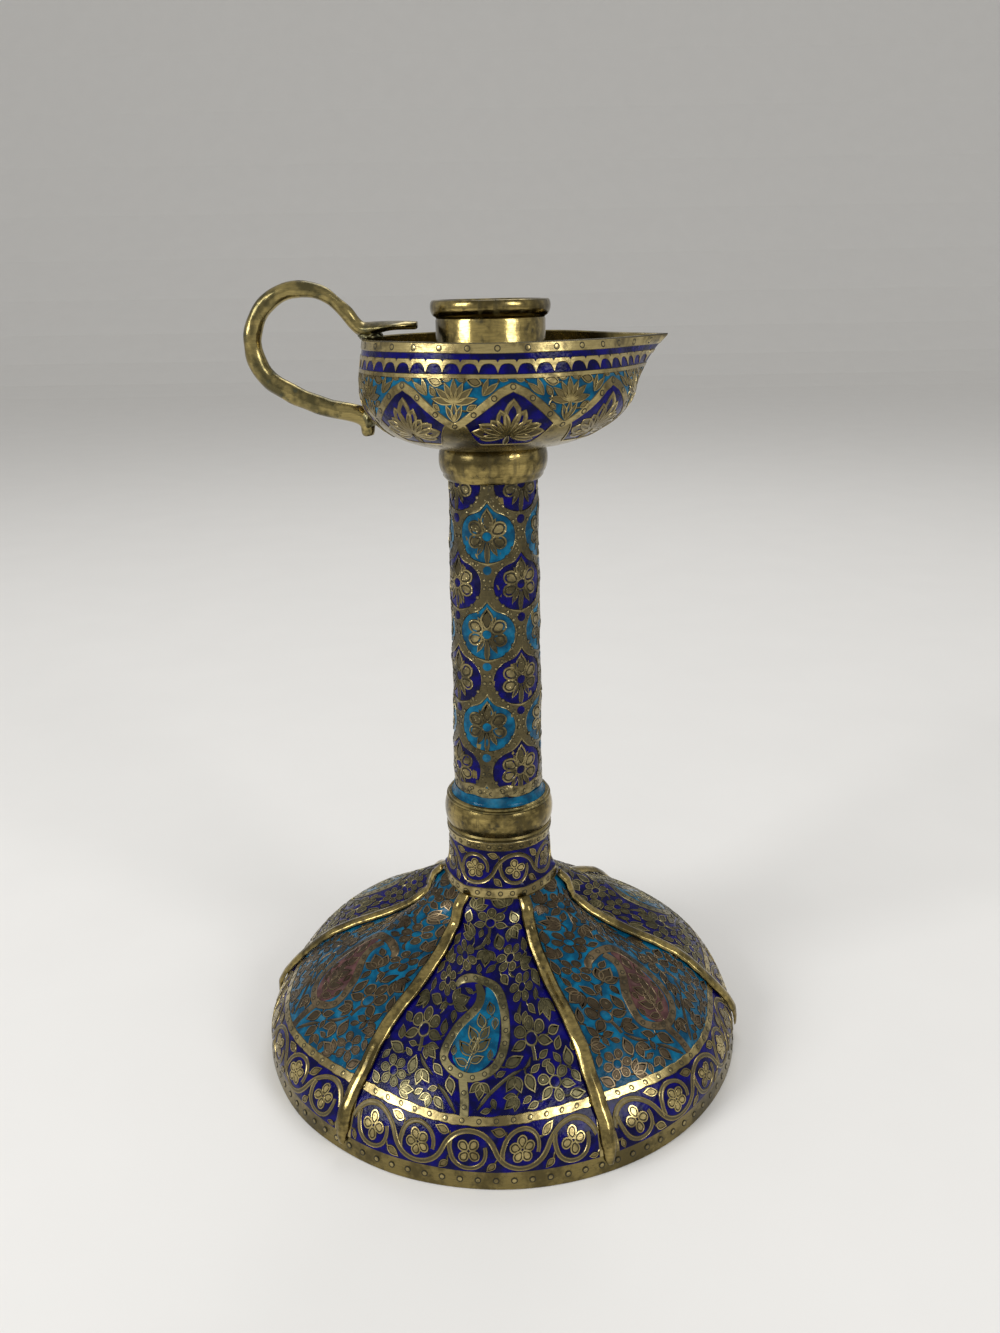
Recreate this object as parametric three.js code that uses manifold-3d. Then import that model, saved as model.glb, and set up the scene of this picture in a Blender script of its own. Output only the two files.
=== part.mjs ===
// A candle lamp of enamelled sheet brass: a lobed foot, a turned stem and a lamp-shaped bowl with a
// candle socket, a drawn spout and a finger loop. Sizes are in millimetres and +Z is up.
// The origin is the centre of the foot on the table. The spout points along +X and the loop along -X.

import * as THREE from 'three';
import { mergeVertices } from 'three/addons/utils/BufferGeometryUtils.js';
import Module from 'manifold-3d';

const wasm = await Module();
wasm.setup();

// Panels of the foot, and the facets of every turned piece, which are eight to a panel.
const PANELS = 6;
const TURNED_FACETS = 8 * PANELS;

// Clearance of a part that slides or screws into another, and of a soldered seat.
const FIT = 0.2;
const SEAT_GAP = 0.3;

// Foot: a raised ogee dome in lobed panels, with a hemmed rim.
const FOOT_RADIUS = 79.8;
const FOOT_HEIGHT = 57.5;
const FOOT_SHEET = 1.2;
const RIM_BAND_HEIGHT = 5.5;
const RIM_BAND_TAPER = 0.5;
const HEM_HEIGHT = 3;
const HEM_THICKNESS = 2.4;
const SHOULDER_PULL = 19.7;
const SHOULDER_ANGLE = 83;
const NECK_PULL = 24;
const NECK_PULL_ANGLE = 143;
const PANEL_AZIMUTH = -7.5;
const DOME_HOLE_RADIUS = 11;
const DOME_STEPS = 16;

// Lobes of the panels, which deepen to valleys under the neck and end in flat facets at its foot.
// The first shares are of the radius and the limits are shares of the foot's height.
const LOBE_SHARE = 0.05;
const LOBE_START = 0.05;
const LOBE_FULL = 0.4;
const VALLEY_SHARE = 0.2;
const VALLEY_START = 0.5;
const VALLEY_FULL = 0.76;
const LOBE_FADE = 0.84;
const NECK_FACETING = 0.4;
const FACET_START = 0.8;

// Half-round strips soldered over the joints between the panels, each with a tongue at its foot.
const RIB_HALF_WIDTH_TOP = 2.1;
const RIB_HALF_WIDTH_FOOT = 2.6;
const RIB_RISE = 1.7;
const RIB_END_HEIGHT = 3;
const RIB_TONGUE = 0.45;
const RIB_TONGUE_STATIONS = 2;
const RIB_SECTION_STEPS = 6;
const RIB_NECK_MARGIN = 1;
const RIB_SEAT_GAP = 0.55;

// Neck: a flared sleeve that starts six-sided on the dome and ends round under the collar.
const NECK_FOOT_RADIUS = 17.8;
const NECK_HEIGHT = 20.8;
const NECK_FOOT_BAND = 3.5;
const NECK_BAND_TAPER = 0.3;
const NECK_FOOT_PULL = 2;
const NECK_WAIST_RADIUS = 16.3;
const NECK_WAIST_HEIGHT = 15.8;
const NECK_WAIST_PULL = 5;
const NECK_TOP_RADIUS = 17.1;
const NECK_BEAD_HEIGHT = 1.3;
const NECK_WALL = 2.2;
const NECK_STEPS = 5;

// Threaded bush inside the neck and the screw of the stem.
const SCREW_RADIUS = 6;
const SCREW_ENGAGEMENT = 12.2;
const BUSH_WALL = 3.8;
const BUSH_SETBACK = 3.8;
const BUSH_FLANGE = 2;
const BUSH_FLANGE_MARGIN = 1;

// Collar and flared ring at the foot of the stem.
const COLLAR_HEIGHT = 8.3;
const COLLAR_RADIUS = 17.55;
const COLLAR_EDGE_RADIUS = 16.7;
const COLLAR_FLOOR = 2.5;
const COLLAR_STEPS = 6;
const FLARE_HEIGHT = 4.6;
const FLARE_EDGE = 0.25;
const FLARE_RING_RADIUS = 16.9;
const FLARE_RING_HEIGHT = 0.9;
const FLARE_PULL = 0.4;
const FLARE_STEPS = 4;

// Stem: a slightly tapered tube, closed by a plug at each end.
const STEM_SHOWN = 98.5;
const STEM_FOOT_RADIUS = 14.1;
const STEM_HEAD_RADIUS = 13.1;
const STEM_WALL = 1.5;
const PLUG_HEIGHT = 11;
const STUD_RADIUS = 5;
const STUD_ENGAGEMENT = 12.5;
const HEAD_NUT_MARGIN = 1.5;

// Collar at the head of the stem.
const HEAD_COLLAR_HEIGHT = 9.8;
const HEAD_COLLAR_RADIUS = 16.1;
const HEAD_COLLAR_LIP = 0.9;
const HEAD_COLLAR_LIP_HEIGHT = 1;
const HEAD_COLLAR_TOP_RADIUS = 15.2;
const HEAD_COLLAR_WEB = 2.5;
const HEAD_COLLAR_STEPS = 5;

// Bowl: a round pan whose wall is drawn out to a spout.
const BOWL_OFFSET = 1.7;
const BOWL_DEPTH = 30.5;
const BOWL_SHEET = 1.6;
const BOWL_BASE_MARGIN = 1;
const BELLY_RADIUS = 39.8;
const BELLY_HEIGHT = 17;
const BELLY_BASE_RISE = 1;
const BELLY_BASE_PULL = 0.52;
const BELLY_SIDE_PULL = 0.46;
const BELLY_STEPS = 7;
const BOWL_RIM_RADIUS = 38;
const WALL_FOOT_PULL = 0.3;
const WALL_RIM_PULL = 0.65;
const WALL_RIM_LEAN = 0.6;
const WALL_STEPS = 4;
const SPOUT_REACH = 10.9;
const SPOUT_DEPTH = 16;
const SPOUT_EASE = 0.75;

// Candle socket with a rolled lip, and the studded disc that closes its foot.
const SOCKET_RADIUS = 15.6;
const SOCKET_WALL = 1.5;
const SOCKET_HEIGHT = 38.9;
const LIP_PROUD = 1.35;
const LIP_HEIGHT = 4.6;
const LIP_ROLL = 0.5;
const LIP_STEPS = 6;
const DISC_THICKNESS = 3;

// Handle: a forged rod bent to a finger loop, flattened to a thumb leaf over the rim.
const LOOP_STANDOFF = 17;
const LOOP_DROP = 1;
const LOOP_RADIUS = 14.8;
const LOOP_START_ANGLE = 232;
const LOOP_END_ANGLE = 34;
const LOOP_STEPS = 11;
const ROD_RADIUS = 2.75;
const ROD_SIDES = 12;
const THROAT_RADIUS = 2.05;
const THROAT_START = 0.45;
const ARM_DROP = 21.2;
const ARM_LENGTH = 3.4;
const ARM_BEND = 1.6;
const NUB_RADIUS = 1.95;
const NUB_DROP = 6.6;
const NUB_TIP = 0.6;
const LEAF_CLEARANCE = 3.7;
const LEAF_HALF_WIDTH = 6.5;
const LEAF_THICKNESS = 2.4;
const LEAF_ROOT_THICKNESS = 4.2;
const LEAF_FLAT_FROM = 0.6;
const LEAF_WIDEST = 0.5;
const LEAF_TIP_ANGLE = 68;
const LEAF_STEPS = 7;

// Sizes that follow from the ones above.
const NECK_TOP = FOOT_HEIGHT + NECK_HEIGHT;
const FLARE_TOP = COLLAR_HEIGHT + FLARE_HEIGHT;
const HEAD_COLLAR_BASE = FLARE_TOP + STEM_SHOWN;
const STEM_HEIGHT = HEAD_COLLAR_BASE + HEAD_COLLAR_HEIGHT;
const TUBE_TOP = STEM_HEIGHT - HEAD_COLLAR_WEB;
const BOWL_BASE = NECK_TOP + STEM_HEIGHT;
const BOWL_BASE_RADIUS = SOCKET_RADIUS + BOWL_BASE_MARGIN;
const BUSH_HEIGHT = NECK_HEIGHT - BUSH_SETBACK;
const SCREW_REACH = BUSH_SETBACK + SCREW_ENGAGEMENT;
const HEAD_NUT_HEIGHT = STUD_ENGAGEMENT + HEAD_NUT_MARGIN;
const STUD_REACH = HEAD_COLLAR_WEB + STUD_ENGAGEMENT;

const enamelledBrass = new THREE.MeshStandardMaterial({ color: 0x2f4d72, roughness: 0.3, metalness: 0.4 });
const plainBrass = new THREE.MeshStandardMaterial({ color: 0xa08c50, roughness: 0.35, metalness: 1 });
const turnedBrass = new THREE.MeshStandardMaterial({ color: 0x8f7c46, roughness: 0.45, metalness: 1 });

const radians = THREE.MathUtils.degToRad;
const smoothstep = THREE.MathUtils.smoothstep;

/** Volume enclosed by an indexed mesh, negative where its faces point inwards. */
function signedVolume(geometry) {
  const position = geometry.getAttribute('position');
  const index = geometry.getIndex();
  const a = new THREE.Vector3();
  const b = new THREE.Vector3();
  const c = new THREE.Vector3();
  let volume = 0;
  for (let i = 0; i < index.count; i += 3) {
    a.fromBufferAttribute(position, index.getX(i));
    b.fromBufferAttribute(position, index.getX(i + 1));
    c.fromBufferAttribute(position, index.getX(i + 2));
    volume += a.dot(b.cross(c)) / 6;
  }
  return volume;
}

/** Welds a geometry into one closed mesh whose faces point outwards. */
function weld(geometry) {
  geometry.deleteAttribute('normal');
  geometry.deleteAttribute('uv');
  const solid = mergeVertices(geometry, 1e-4);
  const corners = Array.from(solid.getIndex().array);
  const kept = [];
  for (let i = 0; i < corners.length; i += 3) {
    const [a, b, c] = corners.slice(i, i + 3);
    if (a !== b && b !== c && c !== a) {
      kept.push(a, b, c);
    }
  }
  solid.setIndex(kept);
  if (signedVolume(solid) < 0) {
    solid.setIndex(kept.reverse());
  }
  solid.computeVertexNormals();
  return solid;
}

/** Turns a closed outline of [radius, height] points about the Z axis, then reshapes its points. */
function turn(outline, reshape = null) {
  const points = outline.map(([radius, height]) => new THREE.Vector2(radius, height));
  if (points[0].x > 0) {
    points.push(points[0].clone());
  }
  const geometry = new THREE.LatheGeometry(points, TURNED_FACETS);
  geometry.rotateX(Math.PI / 2);
  if (reshape) {
    const position = geometry.getAttribute('position');
    const point = new THREE.Vector3();
    for (let i = 0; i < position.count; i += 1) {
      point.fromBufferAttribute(position, i);
      reshape(point);
      position.setXYZ(i, point.x, point.y, point.z);
    }
  }
  return weld(geometry);
}

/** Skins a row of rings, which have one number of points each, and closes both ends. */
function loft(rings) {
  const count = rings[0].length;
  const positions = rings.flatMap((ring) => ring.flatMap((point) => point.toArray()));
  const index = [];
  for (let i = 0; i + 1 < rings.length; i += 1) {
    for (let j = 0; j < count; j += 1) {
      const here = i * count + j;
      const next = i * count + ((j + 1) % count);
      index.push(here, next, next + count);
      index.push(here, next + count, here + count);
    }
  }
  const last = (rings.length - 1) * count;
  for (let j = 1; j + 1 < count; j += 1) {
    index.push(0, j + 1, j);
    index.push(last, last + j, last + j + 1);
  }
  const geometry = new THREE.BufferGeometry();
  geometry.setAttribute('position', new THREE.Float32BufferAttribute(positions, 3));
  geometry.setIndex(index);
  return weld(geometry);
}

/** A manifold solid from a welded geometry. */
function toManifold(geometry) {
  const mesh = new wasm.Mesh({
    numProp: 3,
    vertProperties: new Float32Array(geometry.getAttribute('position').array),
    triVerts: new Uint32Array(geometry.getIndex().array),
  });
  return new wasm.Manifold(mesh);
}

/** One solid less another, both welded geometries. */
function cut(body, tool) {
  const mesh = toManifold(body).subtract(toManifold(tool)).getMesh();
  const geometry = new THREE.BufferGeometry();
  geometry.setAttribute('position', new THREE.Float32BufferAttribute(mesh.vertProperties, 3));
  geometry.setIndex(Array.from(mesh.triVerts));
  return weld(geometry);
}

/** Points of a cubic curve from start to end, with a handle at each end. */
function sweepCurve(start, startHandle, endHandle, end, steps) {
  const curve = new THREE.CubicBezierCurve(
    new THREE.Vector2(...start),
    new THREE.Vector2(...startHandle),
    new THREE.Vector2(...endHandle),
    new THREE.Vector2(...end),
  );
  return curve.getPoints(steps).map((point) => [point.x, point.y]);
}

/** An open outline moved sideways, to the left of its direction where distance is positive. */
function offset(outline, distance) {
  return outline.map(([radius, height], i) => {
    const [r0, h0] = outline[Math.max(i - 1, 0)];
    const [r1, h1] = outline[Math.min(i + 1, outline.length - 1)];
    const length = Math.hypot(r1 - r0, h1 - h0);
    return [radius - (distance * (h1 - h0)) / length, height + (distance * (r1 - r0)) / length];
  });
}

/** Radius of an open outline at a height. */
function radiusAt(outline, height) {
  for (let i = 0; i + 1 < outline.length; i += 1) {
    const [r0, h0] = outline[i];
    const [r1, h1] = outline[i + 1];
    if ((h0 - height) * (h1 - height) <= 0 && h0 !== h1) {
      return r0 + ((r1 - r0) * (height - h0)) / (h1 - h0);
    }
  }
  return outline[outline.length - 1][0];
}

/** Height of an open outline at a radius. */
function heightAt(outline, radius) {
  for (let i = 0; i + 1 < outline.length; i += 1) {
    const [r0, h0] = outline[i];
    const [r1, h1] = outline[i + 1];
    if ((r0 - radius) * (r1 - radius) <= 0 && r0 !== r1) {
      return h0 + ((h1 - h0) * (radius - r0)) / (r1 - r0);
    }
  }
  return outline[outline.length - 1][1];
}

/** A named mesh of one solid. */
function piece(name, geometry, material) {
  const mesh = new THREE.Mesh(geometry, material);
  mesh.name = name;
  return mesh;
}

/** Meridian of the dome through the middle of a panel, from the table to the seat of the neck. */
function domeMeridian() {
  const shoulder = [FOOT_RADIUS - RIM_BAND_TAPER, RIM_BAND_HEIGHT];
  const neck = [NECK_FOOT_RADIUS, FOOT_HEIGHT];
  const shoulderHandle = [
    shoulder[0] + SHOULDER_PULL * Math.cos(radians(SHOULDER_ANGLE)),
    shoulder[1] + SHOULDER_PULL * Math.sin(radians(SHOULDER_ANGLE)),
  ];
  const neckHandle = [
    neck[0] - NECK_PULL * Math.cos(radians(NECK_PULL_ANGLE)),
    neck[1] - NECK_PULL * Math.sin(radians(NECK_PULL_ANGLE)),
  ];
  const ogee = sweepCurve(shoulder, shoulderHandle, neckHandle, neck, DOME_STEPS);
  return [[FOOT_RADIUS, 0], ...ogee];
}

/** How far the foot's wall stands out at an azimuth and height, as a share of its panel's middle. */
function panelFactor(azimuth, height) {
  const step = (2 * Math.PI) / PANELS;
  const turnFromMiddle = azimuth - radians(PANEL_AZIMUTH);
  const fromMiddle = turnFromMiddle - step * Math.round(turnFromMiddle / step);
  const share = height / FOOT_HEIGHT;
  const shallow = LOBE_SHARE * smoothstep(share, LOBE_START, LOBE_FULL);
  const deep = VALLEY_SHARE * smoothstep(share, VALLEY_START, VALLEY_FULL);
  const fade = 1 - smoothstep(share, LOBE_FADE, 1);
  const facets = NECK_FACETING * smoothstep(share, FACET_START, 1);
  const valley = (1 - Math.cos(PANELS * fromMiddle)) / 2;
  return 1 - (shallow + deep) * fade * valley + facets * (1 / Math.cos(fromMiddle) - 1);
}

/** Azimuth of a point, from the front (-Y) towards +X. */
function azimuthOf(point) {
  return Math.atan2(point.x, -point.y);
}

/** Spreads or draws in a point of the dome to follow the panels. */
function followPanels(point) {
  const factor = panelFactor(azimuthOf(point), point.z);
  point.x *= factor;
  point.y *= factor;
}

/** The dome: a sheet shell, open below, with a hem at its rim and a hole under the neck. */
function domeSolid() {
  const outer = domeMeridian();
  const inner = offset(outer, FOOT_SHEET).filter(([radius, height]) => (
    height > HEM_HEIGHT + FOOT_SHEET && radius > DOME_HOLE_RADIUS + FOOT_SHEET
  ));
  inner.reverse();
  const outline = [
    ...outer,
    [DOME_HOLE_RADIUS, FOOT_HEIGHT],
    [DOME_HOLE_RADIUS, FOOT_HEIGHT - FOOT_SHEET],
    [inner[0][0] - FOOT_SHEET, FOOT_HEIGHT - FOOT_SHEET],
    ...inner,
    [FOOT_RADIUS - HEM_THICKNESS, HEM_HEIGHT],
    [FOOT_RADIUS - HEM_THICKNESS, 0],
  ];
  return turn(outline, followPanels);
}

/** A half-round strip along the joint between two panels. */
function ribSolid(azimuth) {
  const neckCorner = NECK_FOOT_RADIUS * panelFactor(azimuth, FOOT_HEIGHT);
  const meridian = domeMeridian().map(([radius, height]) => [radius * panelFactor(azimuth, height), height]);
  const bed = offset(meridian, -RIB_SEAT_GAP);
  const foot = [radiusAt(bed, RIB_END_HEIGHT), RIB_END_HEIGHT];
  const along = bed.filter(([radius, height]) => (
    height > RIB_END_HEIGHT && radius > neckCorner + RIB_NECK_MARGIN
  ));
  const topRadius = neckCorner + SEAT_GAP;
  const stations = [foot, ...along, [topRadius, heightAt(bed, topRadius)]];
  const tips = offset(stations, -1).map(([radius, height], i) => (
    [radius - stations[i][0], height - stations[i][1]]
  ));
  const radial = new THREE.Vector3(Math.sin(azimuth), -Math.cos(azimuth), 0);
  const sideways = new THREE.Vector3(Math.cos(azimuth), Math.sin(azimuth), 0);
  const rings = stations.map(([radius, height], i) => {
    const share = i / (stations.length - 1);
    const tongue = THREE.MathUtils.lerp(RIB_TONGUE, 1, smoothstep(i, 0, RIB_TONGUE_STATIONS));
    const halfWidth = tongue * THREE.MathUtils.lerp(RIB_HALF_WIDTH_FOOT, RIB_HALF_WIDTH_TOP, share);
    const rise = tongue * RIB_RISE;
    const ring = [];
    for (let k = 0; k <= RIB_SECTION_STEPS; k += 1) {
      const angle = (Math.PI * k) / RIB_SECTION_STEPS;
      const up = rise * Math.sin(angle);
      const point = radial.clone().multiplyScalar(radius + up * tips[i][0]);
      point.addScaledVector(sideways, halfWidth * Math.cos(angle));
      point.z = height + up * tips[i][1];
      ring.push(point);
    }
    return ring;
  });
  return loft(rings);
}

/** Outer outline of the neck, from the dome up. */
function neckOutline() {
  const bandTop = FOOT_HEIGHT + NECK_FOOT_BAND;
  const waist = FOOT_HEIGHT + NECK_WAIST_HEIGHT;
  const flareFoot = NECK_FOOT_RADIUS - 2 * NECK_BAND_TAPER;
  const flare = sweepCurve(
    [flareFoot, bandTop],
    [flareFoot - NECK_FOOT_PULL, bandTop + NECK_FOOT_PULL],
    [NECK_WAIST_RADIUS + NECK_WAIST_PULL / 10, waist - NECK_WAIST_PULL],
    [NECK_WAIST_RADIUS, waist],
    NECK_STEPS,
  );
  return [
    [NECK_FOOT_RADIUS, FOOT_HEIGHT],
    [NECK_FOOT_RADIUS - NECK_BAND_TAPER, bandTop],
    ...flare,
    [NECK_TOP_RADIUS - NECK_BEAD_HEIGHT / 10, NECK_TOP - NECK_BEAD_HEIGHT],
    [NECK_TOP_RADIUS, NECK_TOP - NECK_BEAD_HEIGHT / 2],
    [NECK_TOP_RADIUS - NECK_BEAD_HEIGHT / 4, NECK_TOP],
  ];
}

/** Facets of the neck, which fade out from its foot to its waist. */
function followNeckFacets(point) {
  const fade = 1 - smoothstep(point.z, FOOT_HEIGHT + NECK_FOOT_BAND, FOOT_HEIGHT + NECK_WAIST_HEIGHT);
  const factor = 1 + fade * (panelFactor(azimuthOf(point), FOOT_HEIGHT) - 1);
  point.x *= factor;
  point.y *= factor;
}

/** Bore of the neck at its narrowest. */
function neckBore() {
  return NECK_WAIST_RADIUS - NECK_WALL;
}

/** The neck: a flared sleeve. */
function neckSolid() {
  const outer = neckOutline();
  const inner = [
    [neckBore(), NECK_TOP],
    [neckBore(), FOOT_HEIGHT + NECK_WAIST_HEIGHT / 2],
    [NECK_FOOT_RADIUS - NECK_WALL, FOOT_HEIGHT],
  ];
  return turn([...outer, ...inner], followNeckFacets);
}

/** The threaded bush that stands in the neck on the crown of the dome. */
function bushSolid() {
  const bore = SCREW_RADIUS + FIT;
  const flangeRadius = NECK_FOOT_RADIUS - NECK_WALL - BUSH_FLANGE_MARGIN;
  const bodyRadius = bore + BUSH_WALL;
  return turn([
    [bore, FOOT_HEIGHT],
    [flangeRadius, FOOT_HEIGHT],
    [flangeRadius, FOOT_HEIGHT + BUSH_FLANGE],
    [bodyRadius, FOOT_HEIGHT + BUSH_FLANGE],
    [bodyRadius, FOOT_HEIGHT + BUSH_HEIGHT],
    [bore, FOOT_HEIGHT + BUSH_HEIGHT],
  ]);
}

/** Foot sub-assembly: dome, ribs, neck and bush. */
function makeFoot() {
  const foot = new THREE.Group();
  foot.add(piece('foot_dome', domeSolid(), enamelledBrass));
  for (let i = 0; i < PANELS; i += 1) {
    const azimuth = radians(PANEL_AZIMUTH + (360 / PANELS) * (i + 0.5));
    foot.add(piece(`foot_rib_${i + 1}`, ribSolid(azimuth), plainBrass));
  }
  foot.add(piece('foot_neck', neckSolid(), enamelledBrass));
  foot.add(piece('neck_bush', bushSolid(), turnedBrass));
  return foot;
}

/** Radius of the stem tube at a height above the neck. */
function stemRadius(height) {
  const share = (height - COLLAR_FLOOR) / (TUBE_TOP - COLLAR_FLOOR);
  return THREE.MathUtils.lerp(STEM_FOOT_RADIUS, STEM_HEAD_RADIUS, share);
}

/** The plain collar at the foot of the stem, bored for the tube and for the screw. */
function lowerCollarSolid() {
  const bore = STEM_FOOT_RADIUS + FIT;
  const screwHole = SCREW_RADIUS + FIT;
  const bulge = (COLLAR_RADIUS - COLLAR_EDGE_RADIUS) * 4 / 3;
  const barrel = sweepCurve(
    [COLLAR_EDGE_RADIUS, 0],
    [COLLAR_EDGE_RADIUS + bulge, COLLAR_HEIGHT / 4],
    [COLLAR_EDGE_RADIUS + bulge, COLLAR_HEIGHT * 3 / 4],
    [COLLAR_EDGE_RADIUS, COLLAR_HEIGHT],
    COLLAR_STEPS,
  );
  return turn([
    [screwHole, 0],
    ...barrel,
    [bore, COLLAR_HEIGHT],
    [bore, COLLAR_FLOOR],
    [screwHole, COLLAR_FLOOR],
  ]);
}

/** The flared ring on the collar that leads up to the tube. */
function flareSolid() {
  const bore = STEM_FOOT_RADIUS + FIT;
  const ringTop = COLLAR_HEIGHT + FLARE_RING_HEIGHT;
  const sweep = sweepCurve(
    [FLARE_RING_RADIUS - FLARE_EDGE, ringTop],
    [bore + 2 * FLARE_EDGE, ringTop + FLARE_PULL],
    [bore + FLARE_EDGE, FLARE_TOP - FLARE_HEIGHT * FLARE_PULL],
    [bore + FLARE_EDGE, FLARE_TOP],
    FLARE_STEPS,
  );
  return turn([
    [bore, COLLAR_HEIGHT],
    [FLARE_RING_RADIUS - FLARE_EDGE, COLLAR_HEIGHT],
    [FLARE_RING_RADIUS, COLLAR_HEIGHT + FLARE_RING_HEIGHT / 2],
    ...sweep,
    [bore, FLARE_TOP],
  ]);
}

/** The plug in the foot of the tube, with the screw that goes down into the neck's bush. */
function footScrewSolid() {
  const plug = stemRadius(COLLAR_FLOOR + PLUG_HEIGHT) - STEM_WALL - FIT;
  return turn([
    [0, -SCREW_REACH],
    [SCREW_RADIUS, -SCREW_REACH],
    [SCREW_RADIUS, COLLAR_FLOOR],
    [plug, COLLAR_FLOOR],
    [plug, COLLAR_FLOOR + PLUG_HEIGHT],
    [0, COLLAR_FLOOR + PLUG_HEIGHT],
  ]);
}

/** The tapered tube of the stem. */
function tubeSolid() {
  return turn([
    [STEM_FOOT_RADIUS, COLLAR_FLOOR],
    [STEM_HEAD_RADIUS, TUBE_TOP],
    [STEM_HEAD_RADIUS - STEM_WALL, TUBE_TOP],
    [STEM_FOOT_RADIUS - STEM_WALL, COLLAR_FLOOR],
  ]);
}

/** The threaded nut soldered in the head of the tube. */
function headNutSolid() {
  const body = STEM_HEAD_RADIUS - STEM_WALL - FIT;
  const bore = STUD_RADIUS + FIT;
  return turn([
    [bore, TUBE_TOP - HEAD_NUT_HEIGHT],
    [body, TUBE_TOP - HEAD_NUT_HEIGHT],
    [body, TUBE_TOP],
    [bore, TUBE_TOP],
  ]);
}

/** The plain collar over the head of the tube, which the bowl stands on. */
function upperCollarSolid() {
  const bore = stemRadius(HEAD_COLLAR_BASE) + FIT;
  const studHole = STUD_RADIUS + FIT;
  const lipRadius = bore + HEAD_COLLAR_LIP;
  const bulge = (HEAD_COLLAR_RADIUS - HEAD_COLLAR_TOP_RADIUS) * 4 / 3;
  const belly = sweepCurve(
    [lipRadius + HEAD_COLLAR_LIP, HEAD_COLLAR_BASE + 2 * HEAD_COLLAR_LIP_HEIGHT],
    [HEAD_COLLAR_TOP_RADIUS + bulge, HEAD_COLLAR_BASE + HEAD_COLLAR_HEIGHT / 3],
    [HEAD_COLLAR_TOP_RADIUS + bulge, HEAD_COLLAR_BASE + HEAD_COLLAR_HEIGHT * 3 / 4],
    [HEAD_COLLAR_TOP_RADIUS, STEM_HEIGHT],
    HEAD_COLLAR_STEPS,
  );
  return turn([
    [bore, HEAD_COLLAR_BASE],
    [lipRadius, HEAD_COLLAR_BASE],
    [lipRadius + HEAD_COLLAR_LIP * 0.9, HEAD_COLLAR_BASE + HEAD_COLLAR_LIP_HEIGHT],
    ...belly,
    [studHole, STEM_HEIGHT],
    [studHole, TUBE_TOP],
    [bore, TUBE_TOP],
  ]);
}

/** Stem sub-assembly, standing on the neck. */
function makeStem() {
  const stem = new THREE.Group();
  stem.position.z = NECK_TOP;
  stem.add(piece('lower_collar', lowerCollarSolid(), plainBrass));
  stem.add(piece('stem_flare', flareSolid(), enamelledBrass));
  stem.add(piece('stem_foot_screw', footScrewSolid(), turnedBrass));
  stem.add(piece('stem_tube', tubeSolid(), enamelledBrass));
  stem.add(piece('stem_head_nut', headNutSolid(), turnedBrass));
  stem.add(piece('upper_collar', upperCollarSolid(), plainBrass));
  return stem;
}

/** Outer outline of the bowl before its spout is drawn, from the base to the rim. */
function bowlOutline() {
  const lerp = THREE.MathUtils.lerp;
  const belly = sweepCurve(
    [BOWL_BASE_RADIUS, 0],
    [lerp(BOWL_BASE_RADIUS, BELLY_RADIUS, BELLY_BASE_PULL), BELLY_BASE_RISE],
    [BELLY_RADIUS, BELLY_HEIGHT * BELLY_SIDE_PULL],
    [BELLY_RADIUS, BELLY_HEIGHT],
    BELLY_STEPS,
  );
  const wallHandle = [
    lerp(BELLY_RADIUS, BOWL_RIM_RADIUS, WALL_RIM_LEAN),
    lerp(BELLY_HEIGHT, BOWL_DEPTH, WALL_RIM_PULL),
  ];
  const wall = sweepCurve(
    [BELLY_RADIUS, BELLY_HEIGHT],
    [BELLY_RADIUS, lerp(BELLY_HEIGHT, BOWL_DEPTH, WALL_FOOT_PULL)],
    wallHandle,
    [BOWL_RIM_RADIUS, BOWL_DEPTH],
    WALL_STEPS,
  );
  return [...belly, ...wall.slice(1)];
}

/** How far the centre of the bowl stands towards the spout at a height. */
function bowlShift(height) {
  return BOWL_OFFSET * smoothstep(height, 0, BELLY_HEIGHT);
}

/** Draws the wall out to the spout: its plan is a circle with two tangents that meet at the tip. */
function drawSpout(point) {
  const widest = Math.acos(BOWL_RIM_RADIUS / (BOWL_RIM_RADIUS + SPOUT_REACH));
  const share = THREE.MathUtils.clamp((point.z - BOWL_DEPTH + SPOUT_DEPTH) / SPOUT_DEPTH, 0, 1);
  const tangent = widest * share ** SPOUT_EASE;
  const fromSpout = Math.abs(Math.atan2(point.y, point.x));
  const stretch = 1 / Math.cos(Math.max(0, tangent - fromSpout));
  point.x = point.x * stretch + bowlShift(point.z);
  point.y *= stretch;
}

/** The bowl: a pan of even sheet, holed for the stud. */
function bowlSolid() {
  const outer = bowlOutline();
  const inner = offset(outer, BOWL_SHEET).reverse();
  inner[0] = [BOWL_RIM_RADIUS - BOWL_SHEET, BOWL_DEPTH];
  inner[inner.length - 1] = [BOWL_BASE_RADIUS, BOWL_SHEET];
  const pan = turn([[0, 0], ...outer, ...inner, [0, BOWL_SHEET]], drawSpout);
  const studHole = STUD_RADIUS + FIT;
  const drill = turn([[0, -1], [studHole, -1], [studHole, BOWL_SHEET + 1], [0, BOWL_SHEET + 1]]);
  return cut(pan, drill);
}

/** Bore of the candle socket. */
function socketBore() {
  return SOCKET_RADIUS - SOCKET_WALL;
}

/** Largest radius of the socket, at its rolled lip. */
function lipRadius() {
  return SOCKET_RADIUS + LIP_PROUD;
}

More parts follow.
